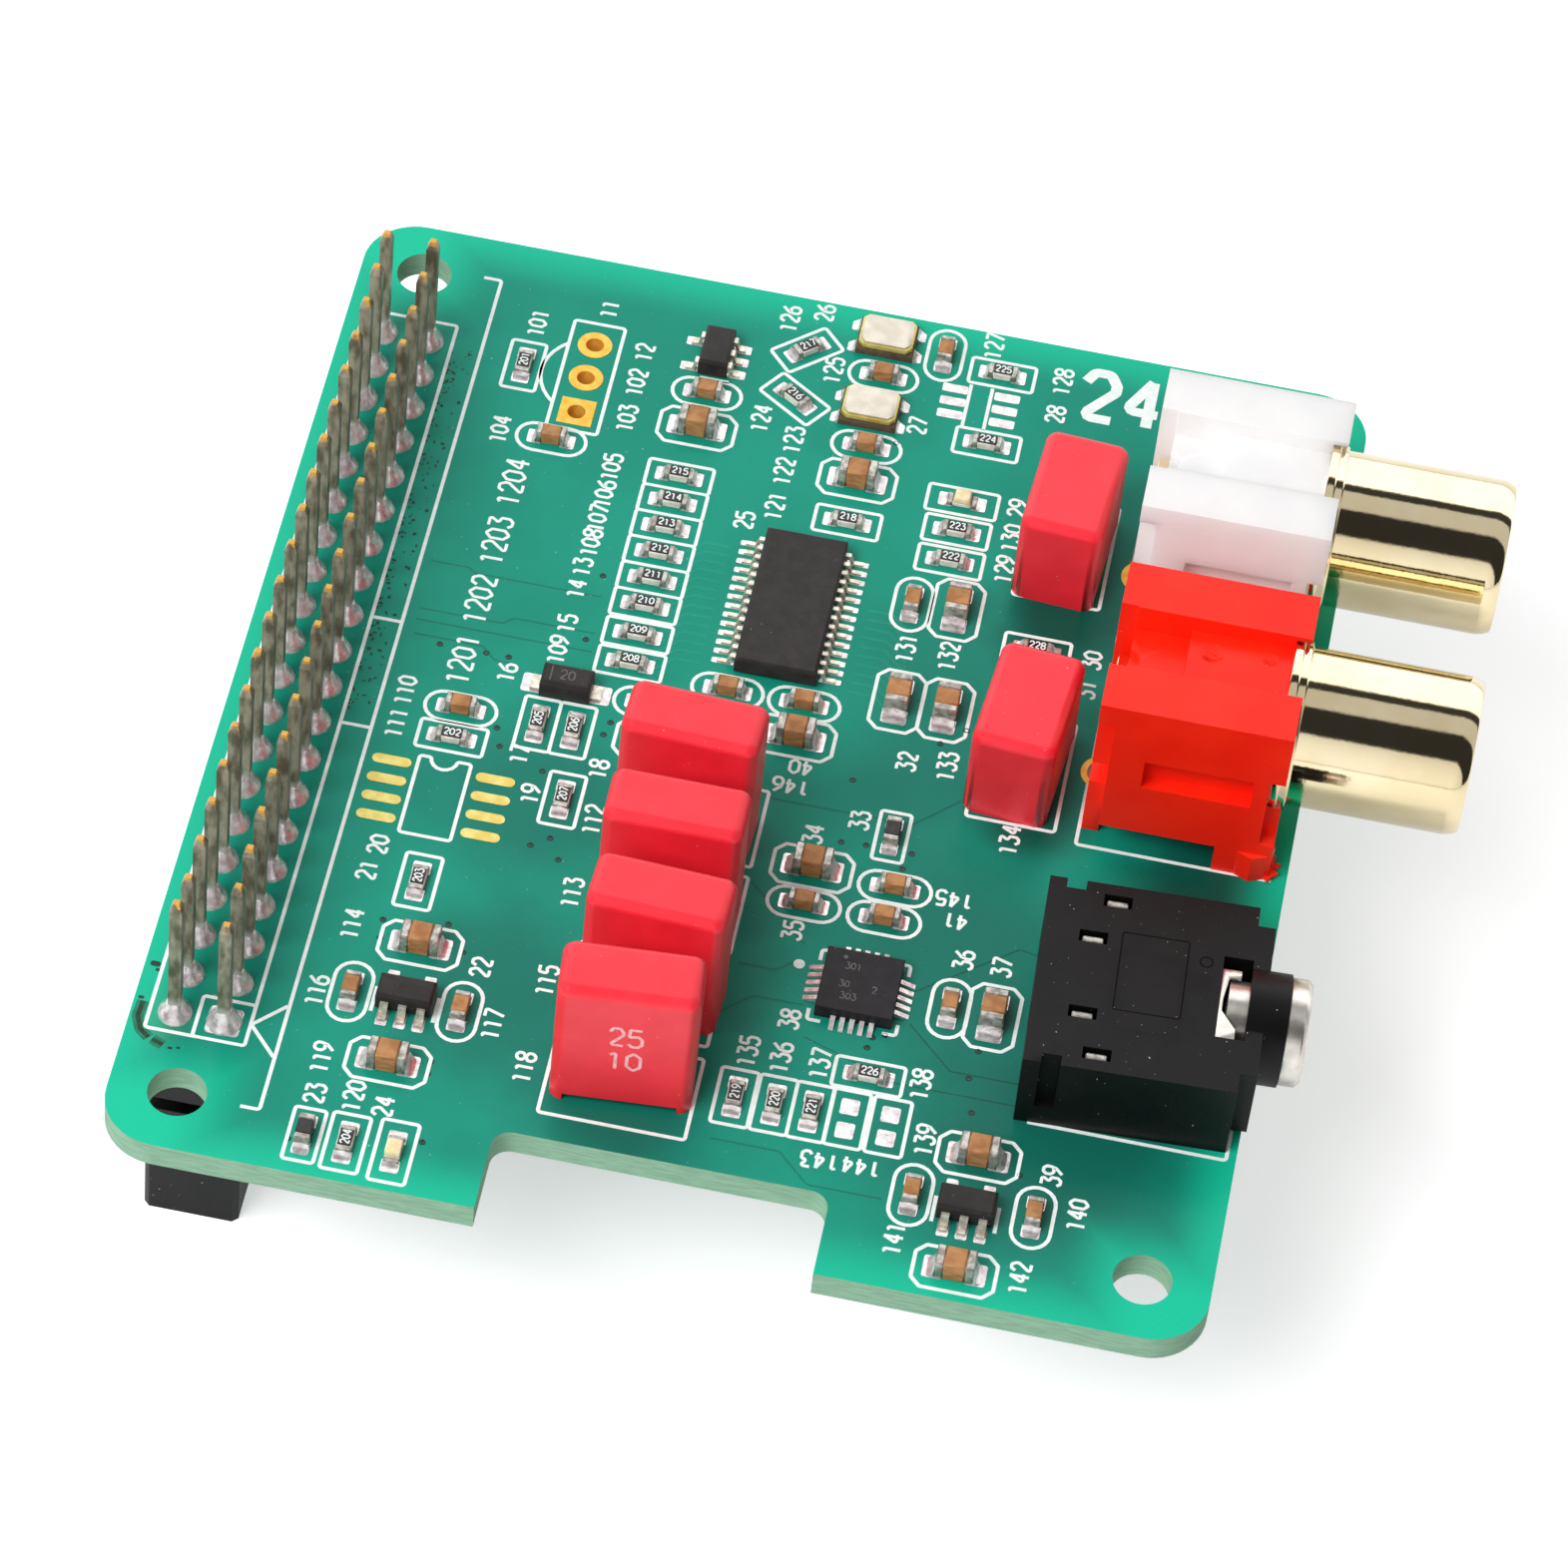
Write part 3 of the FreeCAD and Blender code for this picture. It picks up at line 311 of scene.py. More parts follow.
@dataclass(frozen=True)
class BoardMask(Finish):
    """Green mask over copper, lighter where the board is bare at its edges, raw laminate on cut faces.

    The mask is painted darker between the parts and darkest beside the sockets, as painted shade, and flux has
    stained its near left corner.
    Each spot is a middle, a reach and a share.
    """

    bare: Tone = (22, 196, 156)
    cut: Tone = (150, 190, 162)
    cut_shade: Tone = (132, 172, 146)
    cut_roughness: float = 0.75
    border: float = -0.2
    fade: float = 3.6
    border_share: float = 0.8
    corner: Point = (22.4, 27.4)
    corner_fade: float = 2.6
    thread: float = 0.55
    thread_share: float = 0.04
    thread_depth: float = 0.0005
    # painted shade: these tones and spots darken the mask where shade falls between the parts and beside the sockets;
    # dark is the deepest painted shade
    deeper: Tone = (20, 92, 80)
    dark: Tone = (12, 52, 44)
    stain: Tone = (84, 92, 62)
    deep_spots: tuple[Spot, ...] = (((12.0, -11.0), 10.0, 0.62), ((-11.0, -6.0), 8.0, 0.6),
                                    ((-10.0, -19.0), 8.5, 0.62), ((18.5, -21.5), 12.0, 0.82),
                                    ((-3.0, -24.5), 7.0, 0.75), ((9.0, 8.0), 7.5, 0.38), ((8.0, 0.0), 6.5, 0.52))
    dark_spots: tuple[Spot, ...] = (((14.2, 13.0), 6.0, 0.8), ((14.5, -1.0), 4.0, 0.75), ((24.0, -3.5), 6.5, 0.8))
    stain_spots: tuple[Spot, ...] = (((-26.4, -24.8), 2.2, 0.5),)

    def bare_share(self, surface: Surface) -> Socket:
        """How bare of copper the board is: most along the outline and round the corner holes.

        Args:
            surface: the material.
        Returns:
            A socket from 0 to 1.
        """
        sides = [surface.calc("ABSOLUTE", at) for at in surface.axes()[:2]]
        past = [surface.calc("SUBTRACT", at, end * MM) for at, end in zip(sides, BOARD_HIGH)]
        edge = surface.step(surface.calc("MAXIMUM", *past), -(self.border + self.fade) * MM, -self.border * MM)
        squares = [surface.step(at, (reach - self.corner_fade) * MM, (reach + self.corner_fade) * MM)
                   for at, reach in zip(sides, self.corner)]
        edge = surface.calc("MULTIPLY", edge, self.border_share)
        return surface.calc("MAXIMUM", edge, surface.calc("MINIMUM", *squares))

    def tones(self, surface: Surface) -> Socket:
        """The colour over copper, with painted shade at the shade spots and a flux stain at the stain spot.

        Args:
            surface: the material.
        Returns:
            A colour socket.
        """
        colour = super().tones(surface)
        wander = surface.noise(2.5, 3.0)
        # the first two groups are painted shade; only the stain spot is real flux
        groups = ((self.deeper, self.deep_spots), (self.dark, self.dark_spots), (self.stain, self.stain_spots))
        for tone, (place, reach, share) in ((tone, spot) for tone, spots in groups for spot in spots):
            apart = surface.calc("MULTIPLY_ADD", wander, reach * 0.3 * MM, surface.apart((*place, BOARD_TOP)))
            near = surface.step(apart, reach * 1.15 * MM, reach * 0.4 * MM)
            colour = surface.blend(surface.calc("MULTIPLY", near, share), colour, linear(tone))
        return colour

    def weave(self, surface: Surface) -> Socket:
        """The glass cloth that shows faintly through the mask, as a socket from 0 to 1."""
        threads = [surface.calc("SINE", surface.calc("MULTIPLY", along, math.tau / (self.thread * MM)))
                   for along in surface.axes()[:2]]
        return surface.calc("MULTIPLY_ADD", surface.calc("MULTIPLY", *threads), 0.5, 0.5)

    def dress(self, surface: Surface) -> None:
        """Feeds the shader.

        Args:
            surface: the material.
        """
        mask = surface.blend(self.bare_share(surface), self.tones(surface), linear(self.bare))
        weave = self.weave(surface)
        mask = surface.blend(surface.calc("MULTIPLY", weave, self.thread_share), mask, linear(self.shade))
        layers = surface.step(surface.noise(0.25, 3.0, (4.0, 4.0, 0.5)), 0.3, 0.7)
        laminate = surface.blend(layers, linear(self.cut), linear(self.cut_shade))
        normal = surface.node("ShaderNodeSeparateXYZ", {"Vector": surface.coordinates.outputs["Normal"]})
        flat = surface.step(surface.calc("ABSOLUTE", normal.outputs[2]), 0.4, 0.6)
        surface.relief(weave, self.thread_depth)
        surface.relief(surface.noise(self.grain, 2.0), self.depth)
        polish = surface.calc("MULTIPLY_ADD", flat, self.roughness - self.cut_roughness, self.cut_roughness)
        surface.give(Base_Color=surface.blend(flat, laminate, mask), Roughness=polish, Specular_IOR_Level=self.gloss)


@dataclass(frozen=True)
class Moulding(Finish):
    """Moulded plastic that light enters a little, with sink marks: the middle of each, its reach and its depth."""

    translucence: float = 0.0
    scatter: float = 2.5
    sinks: tuple[tuple[Triple, float, float], ...] = ()

    def dress(self, surface: Surface) -> None:
        """Feeds the shader.

        Args:
            surface: the material.
        """
        super().dress(surface)
        surface.give(Subsurface_Weight=self.translucence, Subsurface_Scale=self.scatter * MM,
                     Subsurface_Radius=(1.0, 0.9, 0.85))
        for place, reach, depth in self.sinks:
            near = surface.step(surface.apart(place), reach * MM, reach * 0.3 * MM)
            surface.relief(surface.calc("MULTIPLY", near, surface.noise(reach * 0.8, 2.0)), -depth)


@dataclass(frozen=True)
class PinPlating(Finish):
    """Dull plated pins, tinned by the solder at their foot, with a gilt tip; the near left one stands higher."""

    foot: Tone = (196, 190, 186)
    tip: Tone = (214, 164, 78)
    tip_start: float = 9.36
    foot_end: float = 3.1
    raised_below: Point = (-24.5, -22.9)
    lift: float = 1.0

    def tones(self, surface: Surface) -> Socket:
        """The colour by height along the pin.

        Args:
            surface: the material.
        Returns:
            A colour socket.
        """
        *sides, height = surface.axes()
        ragged = surface.calc("MULTIPLY_ADD", surface.noise(0.5), 0.9 * MM, height)
        raised = surface.calc("MULTIPLY", *(surface.calc("LESS_THAN", at, limit * MM)
                                            for at, limit in zip(sides, self.raised_below)))
        foot = surface.step(ragged, (self.foot_end + 0.6) * MM, self.foot_end * MM)
        level = surface.calc("MULTIPLY_ADD", raised, -self.lift * MM, ragged)
        tip = surface.step(level, (self.tip_start + 0.35) * MM, (self.tip_start + 0.5) * MM)
        return surface.blend(tip, surface.blend(foot, super().tones(surface), linear(self.foot)), linear(self.tip))


MASK = BoardMask("solder_mask", "laminate", (22, 150, 126), (18, 138, 115), 0.3, patch=9.0, grain=0.4,
                 depth=0.002, gloss=0.16, dust=0.02)
# painted shade tones that TRACK and GAP give to the same painted shade spots
TRACK = replace(MASK, name="mask_over_tracks", tone=(28, 156, 133), shade=(24, 145, 122), deeper=(26, 102, 89),
                dark=(16, 60, 51))
GAP = replace(MASK, name="mask_over_gaps", tone=(17, 128, 107), shade=(14, 117, 97), deeper=(14, 72, 62),
              dark=(8, 38, 32))
VIA = Finish("tented_via", "laminate", (8, 44, 38), (14, 64, 54), 0.3, patch=0.2, depth=0.003, coat=0.2)
INK = Finish("legend_ink", "white_moulding", (248, 252, 250), (232, 244, 240), 0.62, patch=0.35, grain=0.05,
             depth=0.003)
GILT_PAD = Finish("gilt_pad", "gilt_shell", (234, 222, 138), (224, 200, 104), 0.42, patch=0.6, depth=0.002, metal=0.6)
GILT_RING = Finish("gilt_ring", "gilt_shell", (255, 204, 94), (242, 180, 68), 0.4, patch=0.5, depth=0.002, metal=0.45)
FLUX = Finish("burnt_flux", "laminate", (26, 54, 43), (44, 70, 52), 0.5, patch=0.3, grain=0.12, depth=0.01)
FLUX_HALO = Finish("thin_flux", "laminate", (30, 132, 106), (38, 112, 84), 0.5, patch=0.4, grain=0.12, depth=0.004)
TINNED = Finish("tinned_lead", "tinned", (246, 238, 224), (196, 187, 170), 0.26, patch=0.35, grain=0.06,
                depth=0.0015, metal=0.6)
SOLDER = Finish("reflowed_solder", "solder", (248, 242, 241), (204, 194, 196), 0.22, patch=0.45, grain=0.3,
                depth=0.03, metal=0.62)
END_CAP = Finish("end_cap", "tinned", (206, 202, 194), (140, 137, 130), 0.3, patch=0.4, grain=0.1, depth=0.008,
                 metal=0.6)
PINS = PinPlating("header_pin_plating", "pin_brass", (172, 163, 144), (102, 93, 75), 0.34, patch=0.5, grain=0.1,
                  depth=0.008, metal=0.35, stretch=(1.0, 1.0, 3.0))
GILT = Finish("bright_gilt", "gilt_shell", (248, 232, 194), (240, 222, 180), 0.07, 0.03, patch=3.0, grain=2.4,
              depth=0.01, metal=1.0, pits=0.0022)
NICKEL = Finish("bright_nickel", "nickel", (236, 231, 224), (214, 208, 200), 0.3, patch=0.8, depth=0.001, metal=0.9)
BLACK = Finish("matt_black", "black_moulding", (14, 13, 14), (10, 9, 10), 0.44, patch=2.5, grain=0.05,
               depth=0.006, gloss=0.24, dust=0.025)
SHADOW_LINE = Finish("mould_line", "black_moulding", (14, 13, 14), (9, 8, 9), 0.8, patch=0.5, gloss=0.1)
WHITE = Moulding("satin_white", "white_moulding", (247, 245, 244), (242, 240, 240), 0.4, patch=3.0, grain=0.12,
                 depth=0.002, gloss=0.1, translucence=0.5)
RED = Moulding("satin_red", "red_moulding", (255, 40, 16), (248, 32, 12), 0.34, patch=3.0, grain=0.12, depth=0.002,
               gloss=0.35, dust=0.01, sinks=(((22.05, 3.43, 11.8), 0.75, 0.22), ((25.0, 3.75, 11.8), 0.5, 0.1)))
FILM = Finish("satin_film_case", "film_case", (246, 44, 60), (236, 38, 54), 0.38, patch=2.0, grain=0.1, depth=0.006,
              gloss=0.62, dust=0.01)
FILM_PRINT = Finish("film_case_print", "film_case", (250, 196, 196), (240, 168, 172), 0.5, patch=0.3)
EPOXY = Finish("matt_epoxy", "chip_epoxy", (50, 47, 46), (41, 39, 38), 0.48, patch=0.8, grain=0.06, depth=0.006,
               gloss=0.25, dust=0.015)
DARK_EPOXY = replace(EPOXY, name="dark_epoxy", tone=(36, 34, 37), shade=(29, 27, 30), roughness=0.46)
CHIP_MARK = Finish("chip_mark", "chip_epoxy", (112, 108, 106), (92, 88, 87), 0.6, patch=0.3)
CERAMIC = Finish("fired_white", "white_ceramic", (232, 228, 220), (212, 207, 199), 0.42, patch=0.4)
GLAZE = Finish("resin_glaze", "black_glaze", (38, 36, 38), (28, 27, 29), 0.3, patch=0.4, coat=0.3)
TAN = Finish("fired_tan", "tan_ceramic", (188, 138, 90), (158, 108, 66), 0.42, patch=0.7, depth=0.006,
             stretch=(1.0, 1.0, 0.3))
FERRITE = Finish("sintered_grey", "grey_ferrite", (62, 60, 62), (46, 45, 47), 0.4, patch=0.4)
DARK_CERAMIC = Finish("fired_dark", "dark_ceramic", (98, 80, 64), (78, 64, 52), patch=0.5)
LID = Finish("oscillator_lid", "lid_metal", (226, 217, 203), (208, 199, 184), 0.34, patch=0.9, grain=0.3,
             depth=0.006, metal=0.5)
LENS = Finish("lamp_resin", "lamp_lens", (240, 232, 196), (232, 212, 150), 0.25, patch=0.4, coat=0.5)


def put(name: str, data: bpy.types.ID) -> bpy.types.Object:
    """Puts an object in the scene.

    Args:
        name: its name.
        data: its mesh, light or camera.
    Returns:
        The object.
    """
    made = bpy.data.objects.new(name, data)
    bpy.context.scene.collection.objects.link(made)
    return made


def evaluated(piece: bpy.types.Object) -> Mesh:
    """An object's mesh with its modifiers applied."""
    graph = bpy.context.evaluated_depsgraph_get()
    return bpy.data.meshes.new_from_object(piece.evaluated_get(graph), depsgraph=graph)


class Tree(Nodes):
    """A Geometry Nodes tree under construction, with named inputs for its sizes."""

    def __init__(self, name: str, inputs: dict[str, str]) -> None:
        """Starts the tree.

        Args:
            name: the tree's name.
            inputs: the kind of each named input after the geometry.
        """
        super().__init__(bpy.data.node_groups.new(name, "GeometryNodeTree"))
        face = self.tree.interface
        self.names: dict[str, str] = {}
        for label, kind in {"Geometry": "NodeSocketGeometry", **inputs, "Material": "NodeSocketMaterial"}.items():
            self.names[label] = face.new_socket(label, in_out="INPUT", socket_type=kind).identifier
        face.new_socket("Geometry", in_out="OUTPUT", socket_type="NodeSocketGeometry")
        self.inputs = self.node("NodeGroupInput", {}).outputs

    def close(self, geometry: bpy.types.Node) -> None:
        """Realizes the result, gives it the material and ends the tree.

        Args:
            geometry: the node with the result.
        """
        plain = self.node("GeometryNodeRealizeInstances", {"Geometry": geometry})
        dressed = self.node("GeometryNodeSetMaterial", {"Geometry": plain, "Material": self.inputs["Material"]})
        self.node("NodeGroupOutput", {"Geometry": dressed})

    def run(self, source: Mesh, finish: Finish, **values: object) -> Mesh:
        """Runs the tree on a mesh.

        Args:
            source: the mesh that goes in.
            finish: the finish of the result.
            values: the tree's inputs by name.
        Returns:
            The result as a plain mesh with its faces outwards.
        """
        carrier = put("carrier", source)
        modifier = carrier.modifiers.new("tree", "NODES")
        modifier.node_group = self.tree
        for label, value in {**values, "Material": finish.material()}.items():
            modifier[self.names[label]] = value
        made = evaluated(carrier)
        bpy.data.objects.remove(carrier)
        bpy.data.meshes.remove(source)
        shape = bmesh.new()
        shape.from_mesh(made)
        bmesh.ops.recalc_face_normals(shape, faces=shape.faces)
        shape.to_mesh(made)
        shape.free()
        return made


def line_tree() -> Tree:
    """A tree that lays a flat ribbon with softened corners along drawn lines.

    Returns:
        The tree.
    """
    tree = Tree("drawn_lines", dict.fromkeys(("Width", "Thickness", "Corner"), "NodeSocketFloat"))
    path = tree.node("GeometryNodeMeshToCurve", {"Mesh": tree.inputs["Geometry"]})
    soft = tree.node("GeometryNodeFilletCurve", {"Curve": path, "Count": 3, "Radius": tree.inputs["Corner"],
                                                 "Limit Radius": True}, mode="POLY")
    level = tree.node("GeometryNodeSetCurveNormal", {"Curve": soft}, mode="Z_UP")
    profile = tree.node("GeometryNodeCurvePrimitiveQuadrilateral", {"Width": tree.inputs["Width"],
                                                                    "Height": tree.inputs["Thickness"]})
    tree.close(tree.node("GeometryNodeCurveToMesh", {"Curve": level, "Profile Curve": profile, "Fill Caps": True}))
    return tree


def copy_tree() -> Tree:
    """A tree that sets a shape down at every point, turned and sized by the point's own values.

    Returns:
        The tree.
    """
    tree = Tree("copies_at_places", {"Shape": "NodeSocketObject"})
    shape = tree.node("GeometryNodeObjectInfo", {"Object": tree.inputs["Shape"]})
    turn, size = (tree.node("GeometryNodeInputNamedAttribute", {"Name": label}, data_type="FLOAT_VECTOR")
                  for label in ("turn", "size"))
    rotation = tree.node("FunctionNodeEulerToRotation", {"Euler": turn})
    tree.close(tree.node("GeometryNodeInstanceOnPoints", {
        "Points": tree.inputs["Geometry"], "Instance": shape.outputs["Geometry"], "Rotation": rotation,
        "Scale": size}))
    return tree


LINES = line_tree()
COPIES = copy_tree()


@dataclass(frozen=True)
class Place:
    """Where a part stands: a point in millimetres, a turn about the upright, and a size along each axis."""

    x: float
    y: float
    turn: float = 0.0
    z: float = BOARD_TOP
    size: Triple = UNIT

    def point(self, x: float, y: float) -> Point:
        """A point of the part's own drawing, on the board."""
        across, along = math.cos(self.turn), math.sin(self.turn)
        return self.x + x * across - y * along, self.y + x * along + y * across

    def beside(self, x: float, y: float, turn: float, size: Triple) -> "Place":
        """A place beside this one, in the part's own drawing, with a further turn and its own size."""
        return Place(*self.point(x, y), self.turn + turn, self.z, size)

    def draw(self, line: Line) -> Line:
        """A line of the part's own drawing, on the board."""
        return [self.point(x, y) for x, y in line]


SHEET = Place(BOARD_LOW.x, BOARD_LOW.y)


def on_sheet(x: float, y: float, turn: float = 0.0, size: Triple = UNIT) -> Place:
    """A place that is given on the layout sheet."""
    return SHEET.beside(x, y, turn, size)


def box_place(node: str) -> Place:
    """The middle of a node's box, at the height of its top."""
    low, high = (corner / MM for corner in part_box(node))
    return Place((low.x + high.x) / 2, (low.y + high.y) / 2, z=high.z)


def new_mesh(name: str, points: Iterable[Triple], faces: Sequence[Sequence[int]] = (),
             edges: Sequence[tuple[int, int]] = ()) -> Mesh:
    """A mesh from points in millimetres.

    Args:
        name: its name.
        points: its corners.
        faces: the corners of each face.
        edges: the ends of each loose edge.
    Returns:
        The mesh, in metres.
    """
    mesh = bpy.data.meshes.new(name)
    mesh.from_pydata([(x * MM, y * MM, z * MM) for x, y, z in points], edges, faces)
    return mesh


def edge_mesh(lines: Iterable[Line]) -> Mesh:
    """Lines as a mesh of edges, at slightly different levels so that crossings have no shared faces.

    Args:
        lines: points in millimetres; a line that ends where it began is closed.
    Returns:
        The mesh, in metres.
    """
    points: list[Triple] = []
    edges: list[tuple[int, int]] = []
    for index, line in enumerate(lines):
        closed = math.dist(line[0], line[-1]) < MERGE_GAP
        ring = list(line[:-1]) if closed else list(line)
        first = len(points)
        points += [(x, y, index % LINE_LEVELS * LINE_LIFT) for x, y in ring]
        edges += [(first + step, first + step + 1) for step in range(len(ring) - 1)]
        if closed:
            edges.append((len(points) - 1, first))
    return new_mesh("lines", points, edges=edges)


def lay(name: str, lines: Iterable[Line], finish: Finish, width: float, thickness: float, height: float,
        corner: float, stand: Matrix = Matrix.Identity(4)) -> None:
    """Publishes lines as raised ribbons on a level surface.

    Args:
        name: the piece's name.
        lines: points in millimetres.
        finish: what they are made of.
        width: how wide a line is.
        thickness: how far it stands up.
        height: the surface it lies on.
        corner: the radius of its bends.
        stand: where the surface itself is moved to.
    """
    mesh = LINES.run(edge_mesh(lines), finish, Width=width * MM, Thickness=thickness * MM, Corner=corner * MM)
    mesh.transform(Matrix.Translation((0.0, 0.0, (height + thickness / 2) * MM)))
    mesh.transform(stand)
    publish(name, mesh, finish)


def scatter(name: str, shape: Mesh, places: Sequence[Place], finish: Finish, *nodes: str) -> None:
    """Publishes copies of a shape at every place.

    Args:
        name: the piece's name.
        shape: a mesh in metres about its own foot.
        places: where the copies go.
        finish: what they are made of.
        nodes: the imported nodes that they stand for.
    """
    points = new_mesh("places", [(p.x, p.y, p.z) for p in places])
    values = {"turn": [(0.0, 0.0, p.turn) for p in places], "size": [p.size for p in places]}
    for label, rows in values.items():
        layer = points.attributes.new(label, "FLOAT_VECTOR", "POINT")
        layer.data.foreach_set("vector", [number for row in rows for number in row])
    template = put("template", shape)
    mesh = COPIES.run(points, finish, Shape=template)
    bpy.data.objects.remove(template)
    bpy.data.meshes.remove(shape)
    for label in values:
        if label in mesh.attributes:
            mesh.attributes.remove(mesh.attributes[label])
    publish(name, mesh, finish, *nodes)


def publish(name: str, mesh: Mesh, finish: Finish, *nodes: str) -> None:
    """Puts a finished mesh in the scene as a piece of the board.

    Args:
        name: the piece's name.
        mesh: its mesh, in place.
        finish: what it is made of.
        nodes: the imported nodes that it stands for.
    """
    drop_slivers(mesh)
    piece = put(name, mesh)
    mesh.materials.clear()
    mesh.materials.append(finish.material())
    even_shading(piece)
    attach(piece, BODY)
    if nodes:
        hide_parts(*nodes)
    log.info("%s: %d faces, %s", name, len(piece.data.polygons), finish.name)


def drop_slivers(mesh: Mesh) -> None:
    """Closes up edges of no length and faces of no width.

    Args:
        mesh: the mesh, changed in place.
    """
    shape = bmesh.new()
    shape.from_mesh(mesh)
    bmesh.ops.dissolve_degenerate(shape, dist=SLIVER, edges=shape.edges)
    bmesh.ops.triangulate(shape, faces=[face for face in shape.faces if len(face.verts) > 4])
    bmesh.ops.dissolve_degenerate(shape, dist=SLIVER, edges=shape.edges)
    shape.to_mesh(mesh)
    shape.free()


def even_shading(piece: bpy.types.Object) -> None:
    """Shades a piece smoothly over its rounded edges, with its large faces kept flat.

    Args:
        piece: the piece.
    """
    before = piece.data
    before.shade_smooth()
    before.set_sharp_from_angle(angle=CREASE_ANGLE)
    piece.modifiers.new("even_shading", "WEIGHTED_NORMAL").keep_sharp = True
    piece.data = evaluated(piece)
    piece.modifiers.clear()
    bpy.data.meshes.remove(before)


def dress(finish: Finish, *nodes: str) -> None:
    """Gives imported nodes, kept as they are, their finish.

    Args:
        finish: what they are made of.
        nodes: their names.
    """
    for name in nodes:
        materials = frame["nodes"][name].data.materials
        materials.clear()
        materials.append(finish.material())
        log.info("%s: packed solid, %s", name, finish.name)


def merged(node: str) -> bmesh.types.BMesh:
    """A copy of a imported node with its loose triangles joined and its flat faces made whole.

    Args:
        node: the node's name.
    Returns:
        The copy, to be freed by the caller.
    """
    shape = bmesh.new()
    shape.from_mesh(frame["nodes"][node].data)
    bmesh.ops.remove_doubles(shape, verts=shape.verts, dist=MERGE_GAP)
    bmesh.ops.dissolve_limit(shape, angle_limit=FLAT_ANGLE, verts=shape.verts, edges=shape.edges)
    return shape


def soften(node: str, finish: Finish, width: float, rings: int = 2, sharp: float = SHARP_ANGLE,
           floor: float = -math.inf, lip: Sequence[float] = ()) -> None:
    """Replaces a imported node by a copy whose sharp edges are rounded.

    Args:
        node: the node's name.
        finish: what it is made of.
        width: how far the rounding reaches from an edge.
        rings: how many faces go round an edge.
        sharp: the angle from which an edge is rounded.
        floor: the height up to which edges stay as they are.
        lip: two stations along X between which edges are rounded more, and how far.
    """
    shape = merged(node)
    edges = [edge for edge in shape.edges if edge.is_manifold and edge.calc_face_angle(0.0) > sharp
             and max(corner.co.z for corner in edge.verts) > floor * MM]
    wide = [edge for edge in edges if lip and all(lip[0] < corner.co.x / MM < lip[1] for corner in edge.verts)]
    plain = [edge for edge in edges if edge not in wide]
    for group, reach, count in ((wide, lip[2] if lip else 0.0, rings + 3), (plain, width, rings)):
        left = [edge for edge in group if edge.is_valid]
        bmesh.ops.bevel(shape, geom=left, offset=reach * MM, offset_type="OFFSET", segments=count, profile=0.5,
                        affect="EDGES", clamp_overlap=True, loop_slide=True)
    mesh = bpy.data.meshes.new(node)
    shape.to_mesh(mesh)
    shape.free()
    publish(node + "_finished", mesh, finish, node)


def islands(node: str) -> list[list[Vector]]:
    """The corners of each separate solid of a node.

    Args:
        node: the node's name.
    Returns:
        One list of points in millimetres for each solid.
    """
    shape = merged(node)
    left = set(shape.verts)
    found = []
    while left:
        reached = [left.pop()]
        for corner in reached:
            near = {edge.other_vert(corner) for edge in corner.link_edges} & left
            left -= near
            reached.extend(near)
        found.append([corner.co / MM for corner in reached])
    shape.free()
    return sorted(found, key=lambda points: tuple(round(value, 3) for value in middle(points)))


def middle(points: Sequence[Vector]) -> Vector:
    """The points' mean, which is a block's centre however it is turned."""
    return sum(points, Vector()) / len(points)


def tails(node: str, depth: float = -0.2) -> list[Vector]:
    """Where the leads of a node come out under the board, as one point for each."""
    return [middle(low) for low in ([p for p in points if p.z < depth] for points in islands(node)) if low]


def loft(rows: Sequence[Sequence[Triple]], closed: bool) -> Mesh:
    """A closed skin over rings of points.

    Args:
        rows: the rings, with equally many points.
        closed: whether the last ring joins the first; if not, both have a lid.
    Returns:
        The mesh, in metres.
    """
    count, total = len(rows[0]), len(rows) * len(rows[0])
    faces: list[Sequence[int]] = [] if closed else [range(count), range(total - 1, total - count - 1, -1)]
    for row in range(0, total if closed else total - count, count):
        for step in range(count):
            here, after = row + step, row + (step + 1) % count
            faces.append((here, (here + count) % total, (after + count) % total, after))
    return new_mesh("skin", [point for row in rows for point in row], faces)


def lathe(profile: Sequence[Point], sides: int) -> Mesh:
    """A ring of revolution about the upright, from (radius, height) points round its closed section."""
    turns = [step * math.tau / sides for step in range(sides)]
    return loft([[(r * math.cos(turn), r * math.sin(turn), z) for r, z in profile] for turn in turns], True)


def square_ring(half: float, hole: float, sides: int, thickness: float) -> Mesh:
    """A square plate about the upright, with a round hole.

    Args:
        half: half the side of the square.
        hole: the hole's radius.
        sides: how many faces go round, a multiple of eight.
        thickness: how far it stands up from height zero.
    Returns:
        The mesh, in metres.
    """
    rows = []
    for step in range(sides):
        x, y = math.cos(step * math.tau / sides), math.sin(step * math.tau / sides)
        rim = half / max(abs(x), abs(y))
        section = ((hole, 0.0), (rim, 0.0), (rim, thickness), (hole, thickness))
        rows.append([(x * r, y * r, z) for r, z in section])
    return loft(rows, True)


def slab(outline: Line, thickness: float) -> Mesh:
    """A flat plate with an outline of its own, standing up from height zero."""
    return loft([[(x, y, z) for x, y in outline] for z in (thickness, 0.0)], False)


def disc(radius: float, thickness: float) -> Mesh:
    """A flat round plate about the upright."""
    return slab(arc(0.0, 0.0, radius, 0.0, 360.0 - 360.0 / DISC_SIDES, DISC_SIDES - 1), thickness)


def fillet_shape() -> Mesh:
    """A sloped foot of solder, one millimetre long, wide and high, that falls away along X."""
    rows = ((0.0, 1.0, 0.5), (0.22, 0.56, 0.5), (0.5, 0.26, 0.48), (0.8, 0.1, 0.42), (1.0, 0.03, 0.34))
    return loft([[(x, y, h) for y, h in ((-half, 0.0), (-half, z * 0.75), (0.0, z), (half, z * 0.75), (half, 0.0))]
                 for x, z, half in rows], False)


